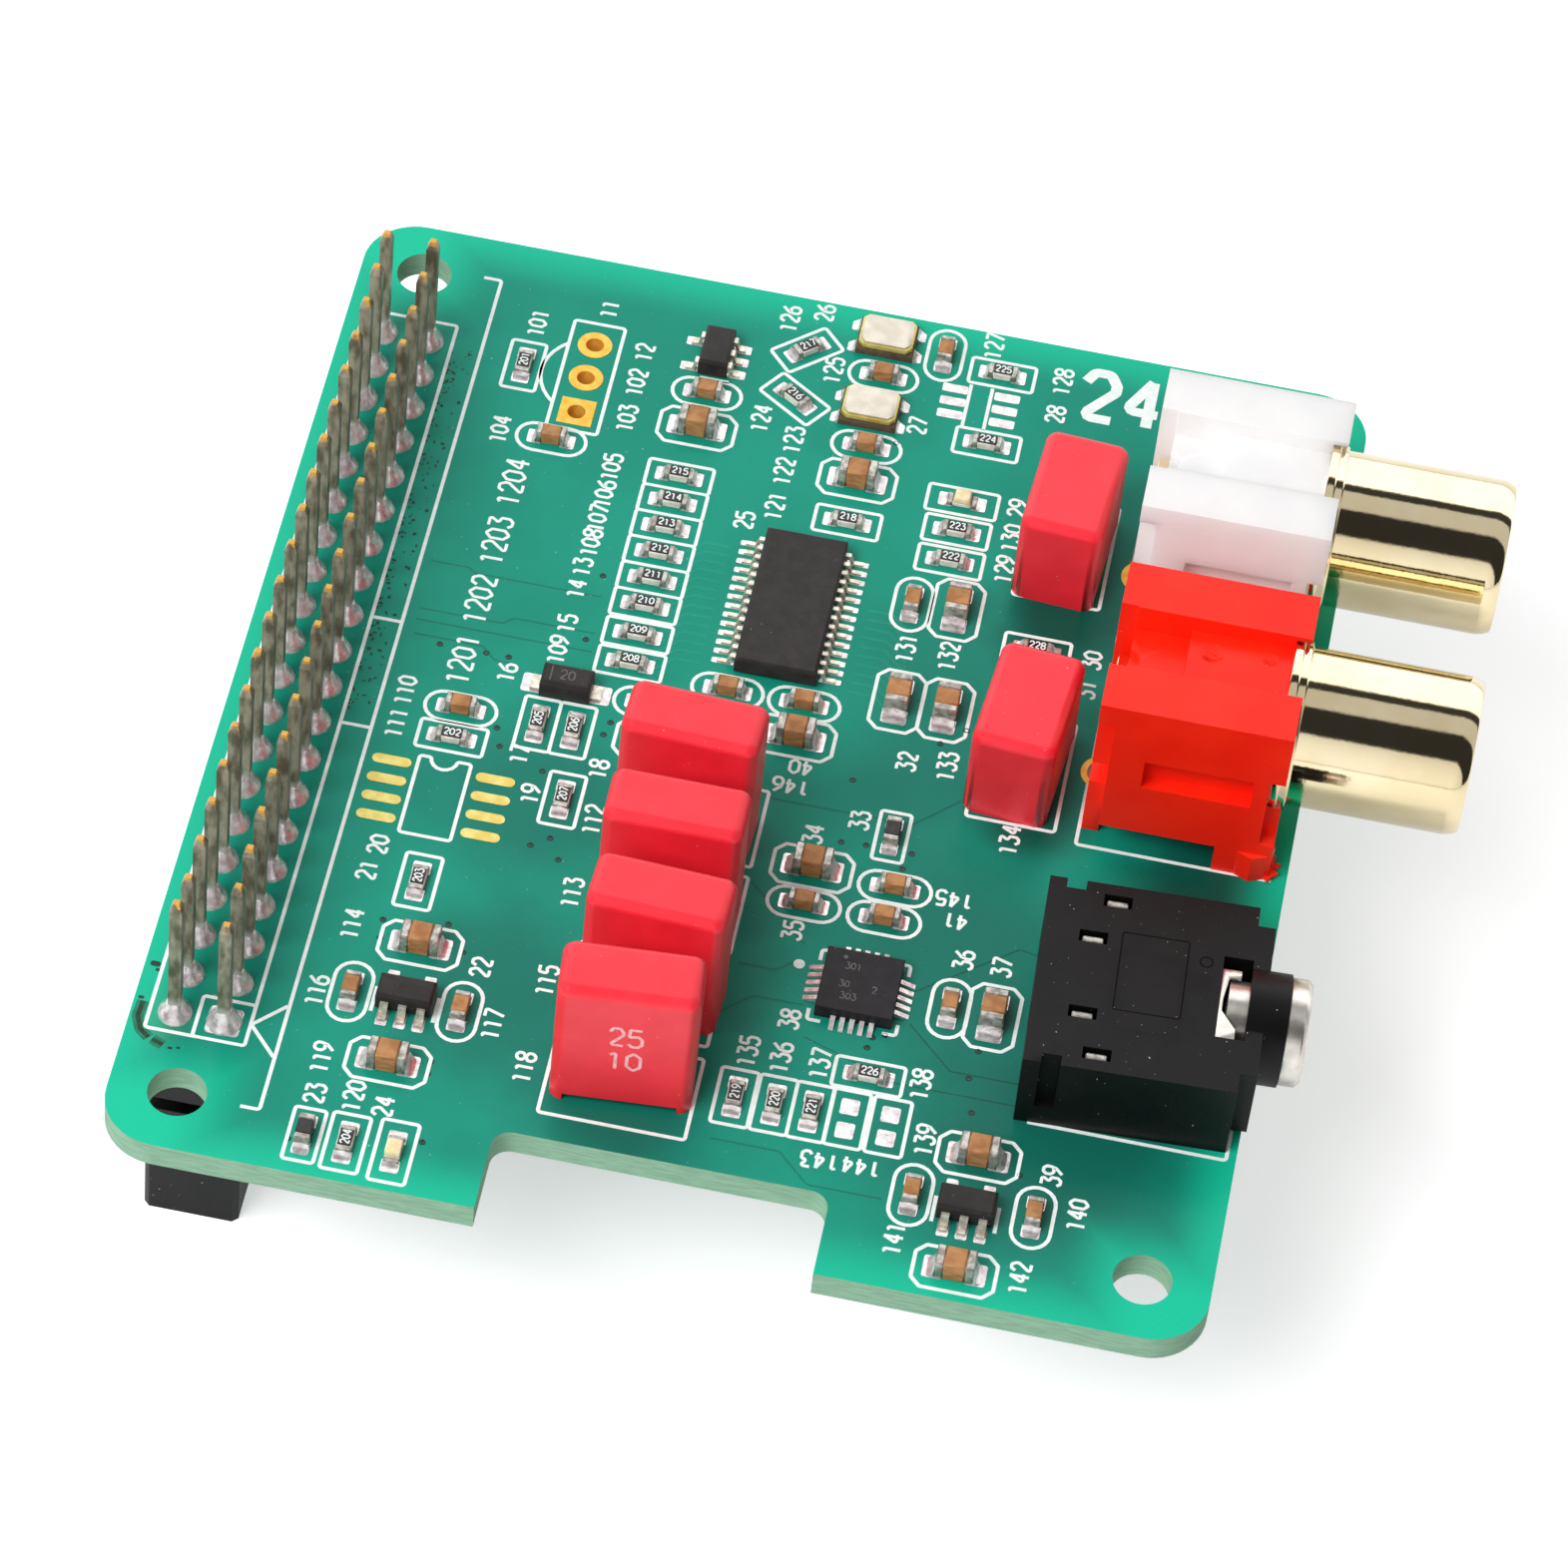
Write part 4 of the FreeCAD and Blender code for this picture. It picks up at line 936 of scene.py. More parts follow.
def arc(x: float, y: float, radius: float, start: float, end: float, steps: int) -> list[Point]:
    """Points along an arc about (x, y), from one angle in degrees to another in equal straight steps."""
    angles = [math.radians(start + (end - start) * step / steps) for step in range(steps + 1)]
    return [(x + radius * math.cos(angle), y + radius * math.sin(angle)) for angle in angles]


def rectangle(x0: float, y0: float, x1: float, y1: float) -> list[Point]:
    """A closed rectangle between two corners."""
    return [(x0, y0), (x1, y0), (x1, y1), (x0, y1), (x0, y0)]


def rounded(width: float, depth: float, radius: float) -> list[Point]:
    """The corners of a rounded rectangle about its own middle.

    Args:
        width: its size along X.
        depth: its size along Y.
        radius: of its corners.
    Returns:
        The points, not closed.
    """
    across, along = width / 2 - radius, depth / 2 - radius
    quarters = ((across, along, 0), (-across, along, 90), (-across, -along, 180), (across, -along, 270))
    return [point for x, y, turn in quarters for point in arc(x, y, radius, turn, turn + 90, 3)]


def outline(shape: FrameShape, width: float, depth: float, clip: float = 0.5) -> list[Point]:
    """A printed outline round a part, about its own middle.

    Args:
        shape: which kind.
        width: its size along the part.
        depth: its size across the part.
        clip: how much a clipped corner loses.
    Returns:
        A closed line.
    """
    half, side = width / 2, depth / 2
    if shape is FrameShape.RECTANGLE:
        return rectangle(-half, -side, half, side)
    if shape is FrameShape.STADIUM:
        ends = arc(half - side, 0, side, -90, 90, 10) + arc(side - half, 0, side, 90, 270, 10)
        return [*ends, ends[0]]
    return [(clip - half, -side), (half - clip, -side), (half, clip - side), (half, side - clip),
            (half - clip, side), (clip - half, side), (-half, side - clip), (-half, clip - side),
            (clip - half, -side)]


DIGITS: dict[str, list[Line]] = {
    "0": [[(1, 0), (2, 0.9), (2, 3.1), (1, 4), (0, 3.1), (0, 0.9), (1, 0)]],
    "1": [[(0.3, 3.2), (1.1, 4), (1.1, 0)]],
    "2": [[(0, 3.1), (0.5, 4), (1.5, 4), (2, 3.1), (2, 2.5), (0, 0), (2, 0)]],
    "3": [[(0, 4), (2, 4), (0.9, 2.4), (2, 2.0), (2, 0.6), (1.4, 0), (0.5, 0), (0, 0.7)]],
    "4": [[(1.5, 0), (1.5, 4)], [(1.5, 4), (0, 1.2), (2.1, 1.2)]],
    "5": [[(1.9, 4), (0.2, 4), (0, 2.2), (1.4, 2.5), (2, 1.9), (2, 0.6), (1.4, 0), (0.5, 0), (0, 0.6)]],
    "6": [[(1.7, 4), (0.3, 2.6), (0, 1.5), (0, 0.6), (0.6, 0), (1.5, 0), (2, 0.6), (2, 1.6), (1.4, 2.2), (0.4, 2.1)]],
    "7": [[(0, 4), (2, 4), (0.7, 0)]],
    "8": [[(1, 2.1), (0.1, 2.7), (0.1, 3.5), (0.6, 4), (1.4, 4), (1.9, 3.5), (1.9, 2.7), (1, 2.1)],
          [(1, 2.1), (2, 1.5), (2, 0.6), (1.4, 0), (0.6, 0), (0, 0.6), (0, 1.5), (1, 2.1)]],
    "9": [[(0.3, 0), (1.7, 1.4), (2, 2.5), (2, 3.4), (1.4, 4), (0.5, 4), (0, 3.4), (0, 2.4), (0.6, 1.8), (1.6, 1.9)]],
}
DIGIT_UNITS = 4.0
DIGIT_STEP = 2.8
DIGIT_TRIM = 1.1


def numbers(labels: Iterable[tuple[int, Place]], height: float) -> list[Line]:
    """Plain numbers as drawn lines, each centred on its place.

    Args:
        labels: each number, with its middle and the turn of its line.
        height: of a digit.
    Returns:
        The lines.
    """
    unit = height / DIGIT_UNITS
    lines = []
    for value, place in labels:
        text = str(value)
        start = -(len(text) * DIGIT_STEP - DIGIT_TRIM) / 2
        for left, stroke in ((start + index * DIGIT_STEP, stroke) for index, digit in enumerate(text)
                             for stroke in DIGITS[digit]):
            lines.append(place.draw([((left + x) * unit, (y - DIGIT_UNITS / 2) * unit) for x, y in stroke]))
    return lines


def lead_pads(node: str, length: float, width: float) -> list[Place]:
    """The pads under the feet of bent or flat leads, one unit thick.

    Args:
        node: the node with the leads, one solid each.
        length: of a pad along its lead.
        width: of a pad across its lead.
    Returns:
        The places of the pads, turned along the leads.
    """
    places = []
    for points in islands(node):
        foot = middle([p for p in points if p.z < BOARD_TOP + 0.02])
        out = (foot - middle(points)).xy
        places.append(Place(foot.x, foot.y, math.atan2(out.y, out.x), size=(length, width, 1.0)))
    return places


@dataclass
class SmallParts:
    """One kind of two-ended chip part: its nodes, its printed outline and the solder at its ends."""

    blocks: str
    ends: str
    finish: Finish
    shape: FrameShape
    frame_size: Point
    pad: Point
    climb: float
    half_end: float = 0.15
    edge: float = 0.05

    def __post_init__(self) -> None:
        """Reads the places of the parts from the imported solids."""
        centres = [middle(points) for points in islands(self.ends)]
        self.places: list[Place] = []
        self.length = 0.0
        for points in islands(self.blocks):
            here = middle(points).xy
            pair = sorted(centres, key=lambda centre: (centre.xy - here).length)[:2]
            pair.sort(key=lambda centre: (round(centre.x, 3), centre.y))
            reach = (pair[1] - pair[0]).xy
            self.places.append(Place(here.x, here.y, math.atan2(reach.y, reach.x)))
            self.length = reach.length

    def end_places(self, size: Triple, out: float) -> list[Place]:
        """Both ends of every part, facing outwards, so far past the middle of an end and of that size."""
        return [place.beside(side * (self.length / 2 + out), 0.0, turn, size)
                for place in self.places for side, turn in ((1, 0.0), (-1, math.pi))]

    def frames(self) -> list[Line]:
        """The printed outlines."""
        return [place.draw(outline(self.shape, *self.frame_size)) for place in self.places]

    def build(self) -> list[Place]:
        """Rounds the parts and solders their ends.

        Returns:
            The places of the pads that they stand on.
        """
        soften(self.blocks, self.finish, self.edge, 1)
        soften(self.ends, END_CAP, self.edge, 1)
        low, high = (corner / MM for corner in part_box(self.ends))
        length, width = self.pad
        rise = (high.z - low.z) * self.climb
        feet = self.end_places((length * 0.78, width * 0.9, rise), self.half_end)
        scatter(self.ends + "_fillets", fillet_shape(), feet, SOLDER)
        return self.end_places((length + 2 * self.half_end, width, 1.0), length / 2)


@dataclass
class Resistors(SmallParts):
    """Chip resistors: a dark glaze on the ceramic, with a plain number on it."""

    digit_height: float = 0.44
    digit_width: float = 0.075
    first_number: int = 201

    def build(self) -> list[Place]:
        """Rounds and solders the parts, glazes them and prints a number on each.

        Returns:
            The places of the pads that they stand on.
        """
        pads = super().build()
        soften("resistor_glazes", GLAZE, 0.02, 1)
        lines = numbers(enumerate(self.places, self.first_number), self.digit_height)
        lay("resistor_numbers", lines, INK, self.digit_width, 0.008, box_place("resistor_glazes").z, 0.04)
        return pads


@dataclass
class CircuitBoard:
    """The board itself: mask, printed legend, pads, plated holes, tracks and vias."""

    ink_width: float = 0.2
    digit_height: float = 0.96
    digit_width: float = 0.17
    long_line: Triple = (11.36, 34.7, 4.3)
    long_first: int = 1201
    long_height: float = 1.25
    large_number: int = 24
    large_middle: Point = (42.3, 61.8)
    large_height: float = 3.4
    large_width: float = 0.62
    track_width: float = 0.16
    gap_width: float = 0.13
    lead_pitch: float = 0.65
    spare_row: tuple[Point, ...] = ((13.68, 58.58), (13.68, 56.08), (13.68, 53.5))
    gilt_rows: tuple[float, ...] = (27.1, 25.82, 24.55, 23.28)
    gilt_columns: tuple[float, ...] = (9.26, 14.76)
    tin_rows: tuple[float, ...] = (60.35, 59.39, 58.43)
    tin_columns: tuple[float, ...] = (33.45, 36.33)
    empty_places: tuple[Point, ...] = ((36.47, 9.8), (38.56, 9.8))
    empty_reach: float = 0.755
    seed: int = 7
    speck_count: int = 190

    def build(self, parts: Sequence[SmallParts], pads: Sequence[Place]) -> None:
        """Dresses the board and adds everything printed, plated or soldered on it.

        Args:
            parts: the small parts, for their outlines.
            pads: the places of the pads under them.
        """
        dress(MASK, "circuit_board")
        self.legend(parts)
        self.numbers()
        self.pads(pads)
        self.plated_holes()
        self.tracks()
        self.dirt()

    def dirt(self) -> None:
        """Leaves the burnt flux at the near left pins, and specks of it along the header."""
        marks = [[(0.5, 8.7), (0.45, 7.7), (0.8, 6.9), (1.3, 6.5)], [(1.5, 6.45), (2.1, 6.2)]]
        lines = [SHEET.draw(line) for line in marks]
        lay("flux_halo", lines, FLUX_HALO, 0.62, 0.004, BOARD_TOP, 0.4)
        lay("flux_marks", lines, FLUX, 0.24, 0.012, BOARD_TOP, 0.4)
        draw = random.Random(self.seed)
        blots = ((0.55, 11.15, 2.6), (0.8, 10.8, 1.6), (0.35, 8.9, 1.5), (2.5, 6.1, 1.2), (2.9, 6.2, 1.0))
        specks = [on_sheet(x, y, size=(size, size * 0.8, 1.0)) for x, y, size in blots]
        for _ in range(self.speck_count):
            size = 0.35 + 0.9 * draw.random()
            point = 6.2 + 1.2 * draw.random() ** 2, draw.uniform(30.0, 56.5)
            specks.append(on_sheet(*point, draw.random() * math.tau, (size, size * draw.uniform(0.5, 1.0), 1.0)))
        scatter("flux_specks", slab(rounded(0.2, 0.16, 0.05), 0.01), specks, FLUX)

    def lines(self) -> list[Line]:
        """The legend's single lines and frames, from the near left corner.

        Returns:
            The lines.
        """
        notch = arc(11.92, 27.8, 0.7, 0, -180, 8)
        found: list[Line] = [
            [(6.75, 3.39), (7.74, 3.39), (7.74, 62.05), (6.75, 62.05)],
            rectangle(0.95, 7.1, 6.1, 58.1),
            rectangle(3.4, 7.1, 6.1, 9.73),
            [(7.66, 10.08), (6.13, 8.5), (7.66, 6.77)],
            [(6.1, 36.48), (7.74, 36.48)],
            [(6.1, 28.98), (7.74, 28.98)],
            [(10.61, 27.8), (10.61, 22.53), (13.34, 22.53), (13.34, 27.8), *notch, (10.61, 27.8)],
            rectangle(12.26, 52.1, 15.08, 60.19),
            arc(14.1, 56.15, 2.9, 129, 231, 10),
            [(34.26, 57.7), (34.26, 60.87)],
            [(35.44, 57.7), (35.44, 60.87)],
            rectangle(38.9, 46.4, 43.6, 53.9),
            rectangle(39.0, 30.7, 43.7, 38.2),
            [(55.2, 44.25), (44.9, 44.25), (44.9, 55.0)],
            [(55.2, 30.2), (44.9, 30.2), (44.9, 41.0)],
            [(45.34, 11.77), (55.5, 11.77), (55.5, 13.7)],
        ]
        found += [rectangle(21.24, low, 28.76, low + 5.2) for low in (24.58, 18.7, 12.58, 6.56)]
        found += [rectangle(x - 0.95, y - 1.78, x + 0.95, y + 1.78) for x, y in self.empty_places]
        return [SHEET.draw(line) for line in found]

    def legend(self, parts: Sequence[SmallParts]) -> None:
        """Prints the frames and lines.

        Args:
            parts: the small parts, for their outlines.
        """
        lines = self.lines() + [line for kind in parts for line in kind.frames()]
        lines += PowerChips().corner_lines() + SignalChips().corner_lines()
        lay("legend_lines", lines, INK, self.ink_width, INK_THICKNESS, BOARD_TOP, 0.16)

    def numbers(self) -> None:
        """Prints a plain running number beside each part, a line of numbers and a large one."""
        long_upward = [
            (10.3, 59.4), (16.4, 56.4), (16.4, 53.7), (9.9, 51.2), (16.3, 50.0), (16.3, 48.0), (16.3, 46.2),
            (16.3, 44.4), (16.1, 36.6), (8.9, 31.9), (8.9, 29.6), (20.2, 25.7), (20.1, 20.7), (9.6, 16.0),
            (20.0, 14.8), (8.8, 11.4), (17.9, 11.4), (20.0, 9.1), (10.0, 7.3), (12.1, 5.3), (25.4, 49.4),
            (25.4, 52.0), (25.5, 54.4), (23.5, 55.5), (26.7, 60.0), (23.7, 63.2), (35.0, 64.0), (39.1, 62.3),
            (38.2, 48.0), (38.2, 50.3), (34.0, 41.2), (36.3, 41.2), (37.5, 33.7), (41.5, 29.6), (30.8, 12.8),
            (32.5, 12.8), (34.5, 12.9), (39.7, 12.8), (40.5, 9.4), (48.7, 6.6), (40.0, 3.0), (46.5, 2.1),
        ]
        short_upward = [
            (13.9, 61.4), (16.4, 58.7), (16.2, 42.6), (16.2, 41.0), (16.2, 38.5), (13.8, 34.4), (15.6, 29.1),
            (19.8, 29.1), (16.7, 26.6), (9.8, 21.4), (9.6, 19.6), (16.6, 14.8), (10.2, 5.0), (13.7, 5.0),
            (24.0, 48.0), (25.5, 64.1), (31.9, 57.1), (39.1, 59.8), (38.2, 52.5), (43.8, 42.8), (43.8, 40.7),
            (35.4, 33.5), (33.7, 29.0), (31.5, 27.5), (31.6, 21.0), (40.5, 21.2), (42.5, 21.2), (32.5, 15.3),
            (47.1, 8.7),
        ]
        long_over = [(35.6, 6.9), (37.7, 7.0), (39.4, 25.0), (29.8, 30.4)]
        short_over = [(30.1, 31.8), (39.7, 23.6)]
        lines: list[Line] = []
        for first, upward, over in ((101, long_upward, long_over), (11, short_upward, short_over)):
            places = [on_sheet(*point, Reading.UPWARD.value) for point in upward]
            places += [on_sheet(*point, Reading.OVER.value) for point in over]
            lines += numbers(enumerate(places, first), self.digit_height)
        x, y, step = self.long_line
        places = [on_sheet(x, y + step * index, Reading.UPWARD.value) for index in range(4)]
        lines += numbers(enumerate(places, self.long_first), self.long_height)
        lay("legend_numbers", lines, INK, self.digit_width, INK_THICKNESS, BOARD_TOP, 0.09)
        large = [(self.large_number, on_sheet(*self.large_middle, Reading.ALONG.value))]
        lay("legend_large_number", numbers(large, self.large_height), INK, self.large_width, INK_THICKNESS, BOARD_TOP,
            0.3)

    def pads(self, pads: Sequence[Place]) -> None:
        """Lays the bare gilt pads and the tinned pads.

        Args:
            pads: the places of the pads under the small parts.
        """
        gilt = [on_sheet(x, y) for x in self.gilt_columns for y in self.gilt_rows]
        scatter("gilt_pads", slab(rounded(2.08, 0.62, 0.3), PAD_THICKNESS), gilt, GILT_PAD)
        tin = [on_sheet(x, y, size=(1.4, 0.6, 1.0)) for x in self.tin_columns for y in self.tin_rows]
        tin += [on_sheet(x, y + side * self.empty_reach, size=(0.95, 1.0, 1.0))
                for x, y in self.empty_places for side in (-1, 1)]
        scatter("tinned_pads", slab(rounded(1.0, 1.0, 0.12), PAD_THICKNESS), [*tin, *pads], SOLDER)

    def plated_holes(self) -> None:
        """Lines the empty row of three holes with gilt, squares its first pad, and rings the phono holes."""
        bottom, top = -BOARD_TOP - PAD_THICKNESS, PAD_THICKNESS
        section = [(0.5, bottom), (0.95, bottom), (0.95, -BOARD_TOP), (0.55, -BOARD_TOP), (0.55, 0.0), (0.95, 0.0),
                   (0.95, top), (0.5, top)]
        places = [on_sheet(x, y) for x, y in self.spare_row]
        scatter("spare_row_plating", lathe(section, 24), places, GILT_RING)
        scatter("spare_row_first_pad", square_ring(0.95, 0.52, 32, top + 0.004), places[-1:], GILT_RING)
        feet = [Place(point.x, point.y) for colour in ("white", "red")
                for point in tails("phono_centre_contact_" + colour)]
        ring = [(0.62, 0.0), (1.12, 0.0), (1.12, top), (0.62, top)]
        scatter("phono_ring_pads", lathe(ring, 28), feet, GILT_RING)
        dome = [(0.2, 0.0), (0.8, 0.0), (0.74, 0.2), (0.56, 0.42), (0.2, 0.56)]
        scatter("phono_foot_solder", lathe(dome, 20), feet, SOLDER)

    def tracks(self) -> None:
        """Raises the tracks and the gaps in the copper that show through the mask, and the tented vias."""
        vias = [
            (9.5, 2.0), (11.1, 16.7), (11.2, 15.5), (14.4, 17.2), (15.5, 15.6), (15.4, 8.4), (15.4, 7.6),
            (16.05, 3.35), (18.3, 24.0), (17.4, 23.3), (19.0, 22.7), (42.5, 11.7), (36.65, 14.5), (32.85, 31.65),
            (33.0, 27.4), (34.3, 27.5), (36.7, 27.5), (36.4, 26.4), (36.9, 35.2), (38.1, 36.4), (17.4, 42.3),
            (17.4, 37.7), (10.0, 35.5), (12.5, 35.5), (13.7, 35.5), (19.8, 32.4), (19.6, 31.5), (14.1, 30.6),
            (14.5, 29.4), (17.0, 28.3), (42.2, 15.6), (37.4, 15.5), (36.8, 15.2), (31.0, 55.6), (45.5, 8.4),
            (42.0, 13.8),
        ]
        section = [(0.0, 0.0), (0.19, 0.0), (0.17, 0.02), (0.11, 0.025), (0.07, 0.01), (0.0, 0.008)]
        scatter("tented_vias", lathe(section, 12), [on_sheet(*point) for point in vias], VIA)
        gaps = [
            [(8.3, 41.1), (10.4, 41.1), (10.7, 40.8), (17.6, 40.8)],
            [(8.4, 37.7), (12.9, 37.7), (13.4, 38.2), (17.8, 38.2)],
            [(8.4, 36.9), (17.9, 36.9)],
            [(8.5, 35.9), (12.2, 35.9), (13.0, 35.1), (14.2, 35.1)],
            [(28.95, 23.7), (32.4, 20.25)],
            [(29.3, 18.3), (31.2, 18.3), (32.4, 19.3)],
            [(28.6, 14.6), (30.4, 16.4), (33.0, 16.4)],
            [(33.4, 14.4), (38.5, 12.6), (42.4, 12.6), (44.6, 12.6)],
            [(38.4, 18.6), (43.2, 22.6), (45.0, 22.2)],
            [(38.5, 16.5), (41.0, 14.0), (44.6, 14.0)],
            [(28.9, 29.4), (36.4, 29.4), (38.6, 31.6)],
            [(30.0, 7.0), (33.5, 7.0), (35.2, 5.3), (39.0, 5.3)],
        ]
        lay("copper_gaps", [SHEET.draw(line) for line in gaps], GAP, self.gap_width, MARK_THICKNESS, BOARD_TOP, 0.3)
        drops = [self.lead_pitch * step for step in range(14)]
        tracks = [[(21.2, 44.9 - drop), (22.3, 46.0 - drop), (23.6, 46.0 - drop)] for drop in drops]
        tracks += [[(31.6, 46.0 - drop), (33.0, 46.0 - drop), (34.2, 44.8 - drop)] for drop in drops[4:]]
        lay("tracks", [SHEET.draw(line) for line in tracks], TRACK, self.track_width, 0.008, BOARD_TOP, 0.3)


@dataclass
class StackingHeader:
    """The 40-pin stacking header: two moulded strips, the pins and their solder."""

    strip_edge: float = 0.1
    first_pad_side: float = 1.75
    joint_profile: tuple[Point, ...] = ((0.3, 0.0), (0.95, 0.0), (0.9, 0.16), (0.74, 0.38), (0.56, 0.66), (0.46, 1.0),
                                        (0.39, 1.1), (0.3, 1.1))
    lumps: float = 0.09
    seed: int = 40

    def joints(self) -> list[Vector]:
        """The middles of the solder joints."""
        return [middle(points) for points in islands("header_solder_joints")]

    def first_pad(self) -> list[Place]:
        """The square pad at the first pin: the near one of the inner row."""
        here = max(self.joints(), key=lambda centre: centre.x - centre.y)
        return [Place(here.x, here.y, size=(self.first_pad_side, self.first_pad_side, 1.0))]

    def build(self) -> None:
        """Rounds the strips, plates the pins and lays a cone of solder round each."""
        for strip in ("header_spacer", "header_socket_housing"):
            soften(strip, BLACK, self.strip_edge, 1)
        dress(PINS, "header_pins")
        draw = random.Random(self.seed)
        places = []
        for here in self.joints():
            wide, high = (1.0 - self.lumps * draw.random() for _ in range(2))
            places.append(Place(here.x, here.y, draw.random() * math.tau, size=(wide, 1.0, high)))
        scatter("header_solder_joints_finished", lathe(self.joint_profile, CONE_SIDES), places, SOLDER,
                "header_solder_joints")


@dataclass
class PhonoSockets:
    """The pair of phono sockets: moulded housings, gilt shells and centre contacts."""

    housing_edge: float = 0.14
    shell_edge: float = 0.06
    lip: Triple = (35.4, 35.9, 0.4)
    flash_lift: float = 0.1
    flash_thickness: float = 0.22
    flash_outline: tuple[Point, ...] = ((26.7, -2.2), (27.0, -2.55), (27.2, -2.2), (27.5, -1.95), (27.2, -1.7),
                                        (27.55, -1.3), (27.1, -1.25), (27.25, -0.8), (26.8, -0.9))

    def build(self) -> None:
        """Rounds and dresses both sockets, and leaves torn moulding flash at the red one's near front foot."""
        for colour, finish in (("white", WHITE), ("red", RED)):
            soften("phono_housing_" + colour, finish, self.housing_edge)
            soften("phono_shell_" + colour, GILT, self.shell_edge, lip=self.lip)
            soften("phono_centre_contact_" + colour, GILT, self.shell_edge)
        torn = slab(self.flash_outline, self.flash_thickness)
        scatter("phono_housing_red_flash", torn, [Place(0.0, 0.0, z=BOARD_TOP + self.flash_lift)], RED)


@dataclass
class HeadphoneSocket:
    """The headphone socket: moulded housing with mould marks, bush, blades and earth spring."""

    housing_edge: float = 0.09
    bush_edge: float = 0.05
    blade_edge: float = 0.1
    spring_edge: float = 0.04
    mount_ahead: float = 6.0
    insert: tuple[float, float, float, float] = (-1.35, -2.6, 2.05, 2.4)
    ejector: Triple = (3.0, 1.3, 0.32)

    def mould_marks(self) -> None:
        """Draws the insert's parting line and the ejector's ring on the top of the housing."""
        mount = next(m for m in frame["record"]["mounts"] if m["name"] == "headphone_socket")
        axis = Vector(mount["axis"])
        centre = Vector(mount["pos_m"]) / MM - axis * self.mount_ahead
        place = Place(centre.x, centre.y, math.atan2(axis.y, axis.x))
        lines = [place.draw(rectangle(*self.insert)), place.draw(arc(*self.ejector, 0, 360, 16))]
        lay("headphone_mould_marks", lines, SHADOW_LINE, 0.07, MARK_THICKNESS, box_place("headphone_housing").z, 0.1)

    def build(self) -> None:
        """Rounds and dresses the socket."""
        self.mould_marks()
        soften("headphone_housing", BLACK, self.housing_edge)
        soften("headphone_bush", NICKEL, self.bush_edge)
        soften("headphone_contact_blades", END_CAP, self.blade_edge, 3)
        soften("headphone_earth_spring", NICKEL, self.spring_edge, 1)


@dataclass
class FilmCapacitors:
    """Six red film capacitors: moulded boxes with well rounded edges, and their wires."""

    edge: float = 0.27
    sharp: float = math.radians(20.0)
    foot_height: float = 2.1
    digit_height: float = 1.35
    printed: tuple[tuple[int, float], ...] = ((25, 0.95), (10, -0.95))
    print_middle: Triple = (-2.863, -24.645, 6.3)
    print_turn: float = 4.5

    def build(self) -> None:
        """Rounds the boxes and dresses the wires."""
        for size, count in (("tall", 4), ("low", 2)):
            for step in range(1, count + 1):
                soften(f"film_capacitor_{size}_{step}", FILM, self.edge, 4, self.sharp, self.foot_height)
        dress(TINNED, "film_capacitor_wires")
        self.printing()

    def printing(self) -> None:
        """Prints two plain numbers on the near face of the nearest box."""
        lines = numbers([(value, Place(0.0, y)) for value, y in self.printed], self.digit_height)
        turn = Matrix.Rotation(math.radians(self.print_turn), 4, "Z") @ Matrix.Rotation(math.pi / 2, 4, "X")
        stand = Matrix.Translation(Vector(self.print_middle) * MM) @ turn
        lay("film_capacitor_numbers", lines, FILM_PRINT, 0.17, 0.01, 0.0, 0.1, stand)


@dataclass
class SignalChips:
    """The converter chip with its gull-wing leads and the amplifier chip with its solder feet."""

    edge: float = 0.05
    corner: float = 2.3
    corner_arm: float = 0.7
    digit_height: float = 0.42
    digit_width: float = 0.06
    chip_numbers: tuple[tuple[int, float, float], ...] = ((301, -0.53, 0.94), (30, -0.8, -0.26), (2, 0.77, -0.35),
                                                          (303, -0.47, -1.02))
    chip_dot: Triple = (-1.0, 1.46, 0.12)
    printed_dot: Triple = (-3.3, 1.1, 0.3)

    def corner_lines(self) -> list[Line]:
        """The printed corners round the amplifier chip.

        Returns:
            The lines.
        """
        reach, arm = self.corner, self.corner - self.corner_arm
        place = box_place("amplifier_chip_body")
        return [place.draw([(sx * arm, sy * reach), (sx * reach, sy * reach), (sx * reach, sy * arm)])
                for sx in (-1, 1) for sy in (-1, 1)]

    def pads(self) -> list[Place]:
        """The pads under the converter chip's leads."""
        return lead_pads("converter_chip_leads", 1.2, 0.36)

    def marks(self) -> None:
        """Marks the amplifier: a moulded dot and plain numbers on its body, and a printed dot beside it."""
        chip = box_place("amplifier_chip_body")
        x, y, radius = self.chip_dot
        scatter("chip_dot", disc(radius, MARK_THICKNESS), [chip.beside(x, y, 0.0, UNIT)], CHIP_MARK)
        labels = [(value, chip.beside(x, y, 0.0, UNIT)) for value, x, y in self.chip_numbers]
        lines = numbers(labels, self.digit_height)
        lay("chip_numbers", lines, CHIP_MARK, self.digit_width, MARK_THICKNESS, chip.z, 0.04)
        x, y, radius = self.printed_dot
        scatter("legend_dot", disc(radius, INK_THICKNESS), [Place(*chip.point(x, y))], INK)

    def build(self) -> None:
        """Rounds the bodies and tins the leads."""
        self.marks()
        soften("converter_chip_body", EPOXY, self.edge)
        soften("amplifier_chip_body", DARK_EPOXY, self.edge)
        dress(TINNED, "converter_chip_leads")
        dress(SOLDER, "amplifier_chip_pads")


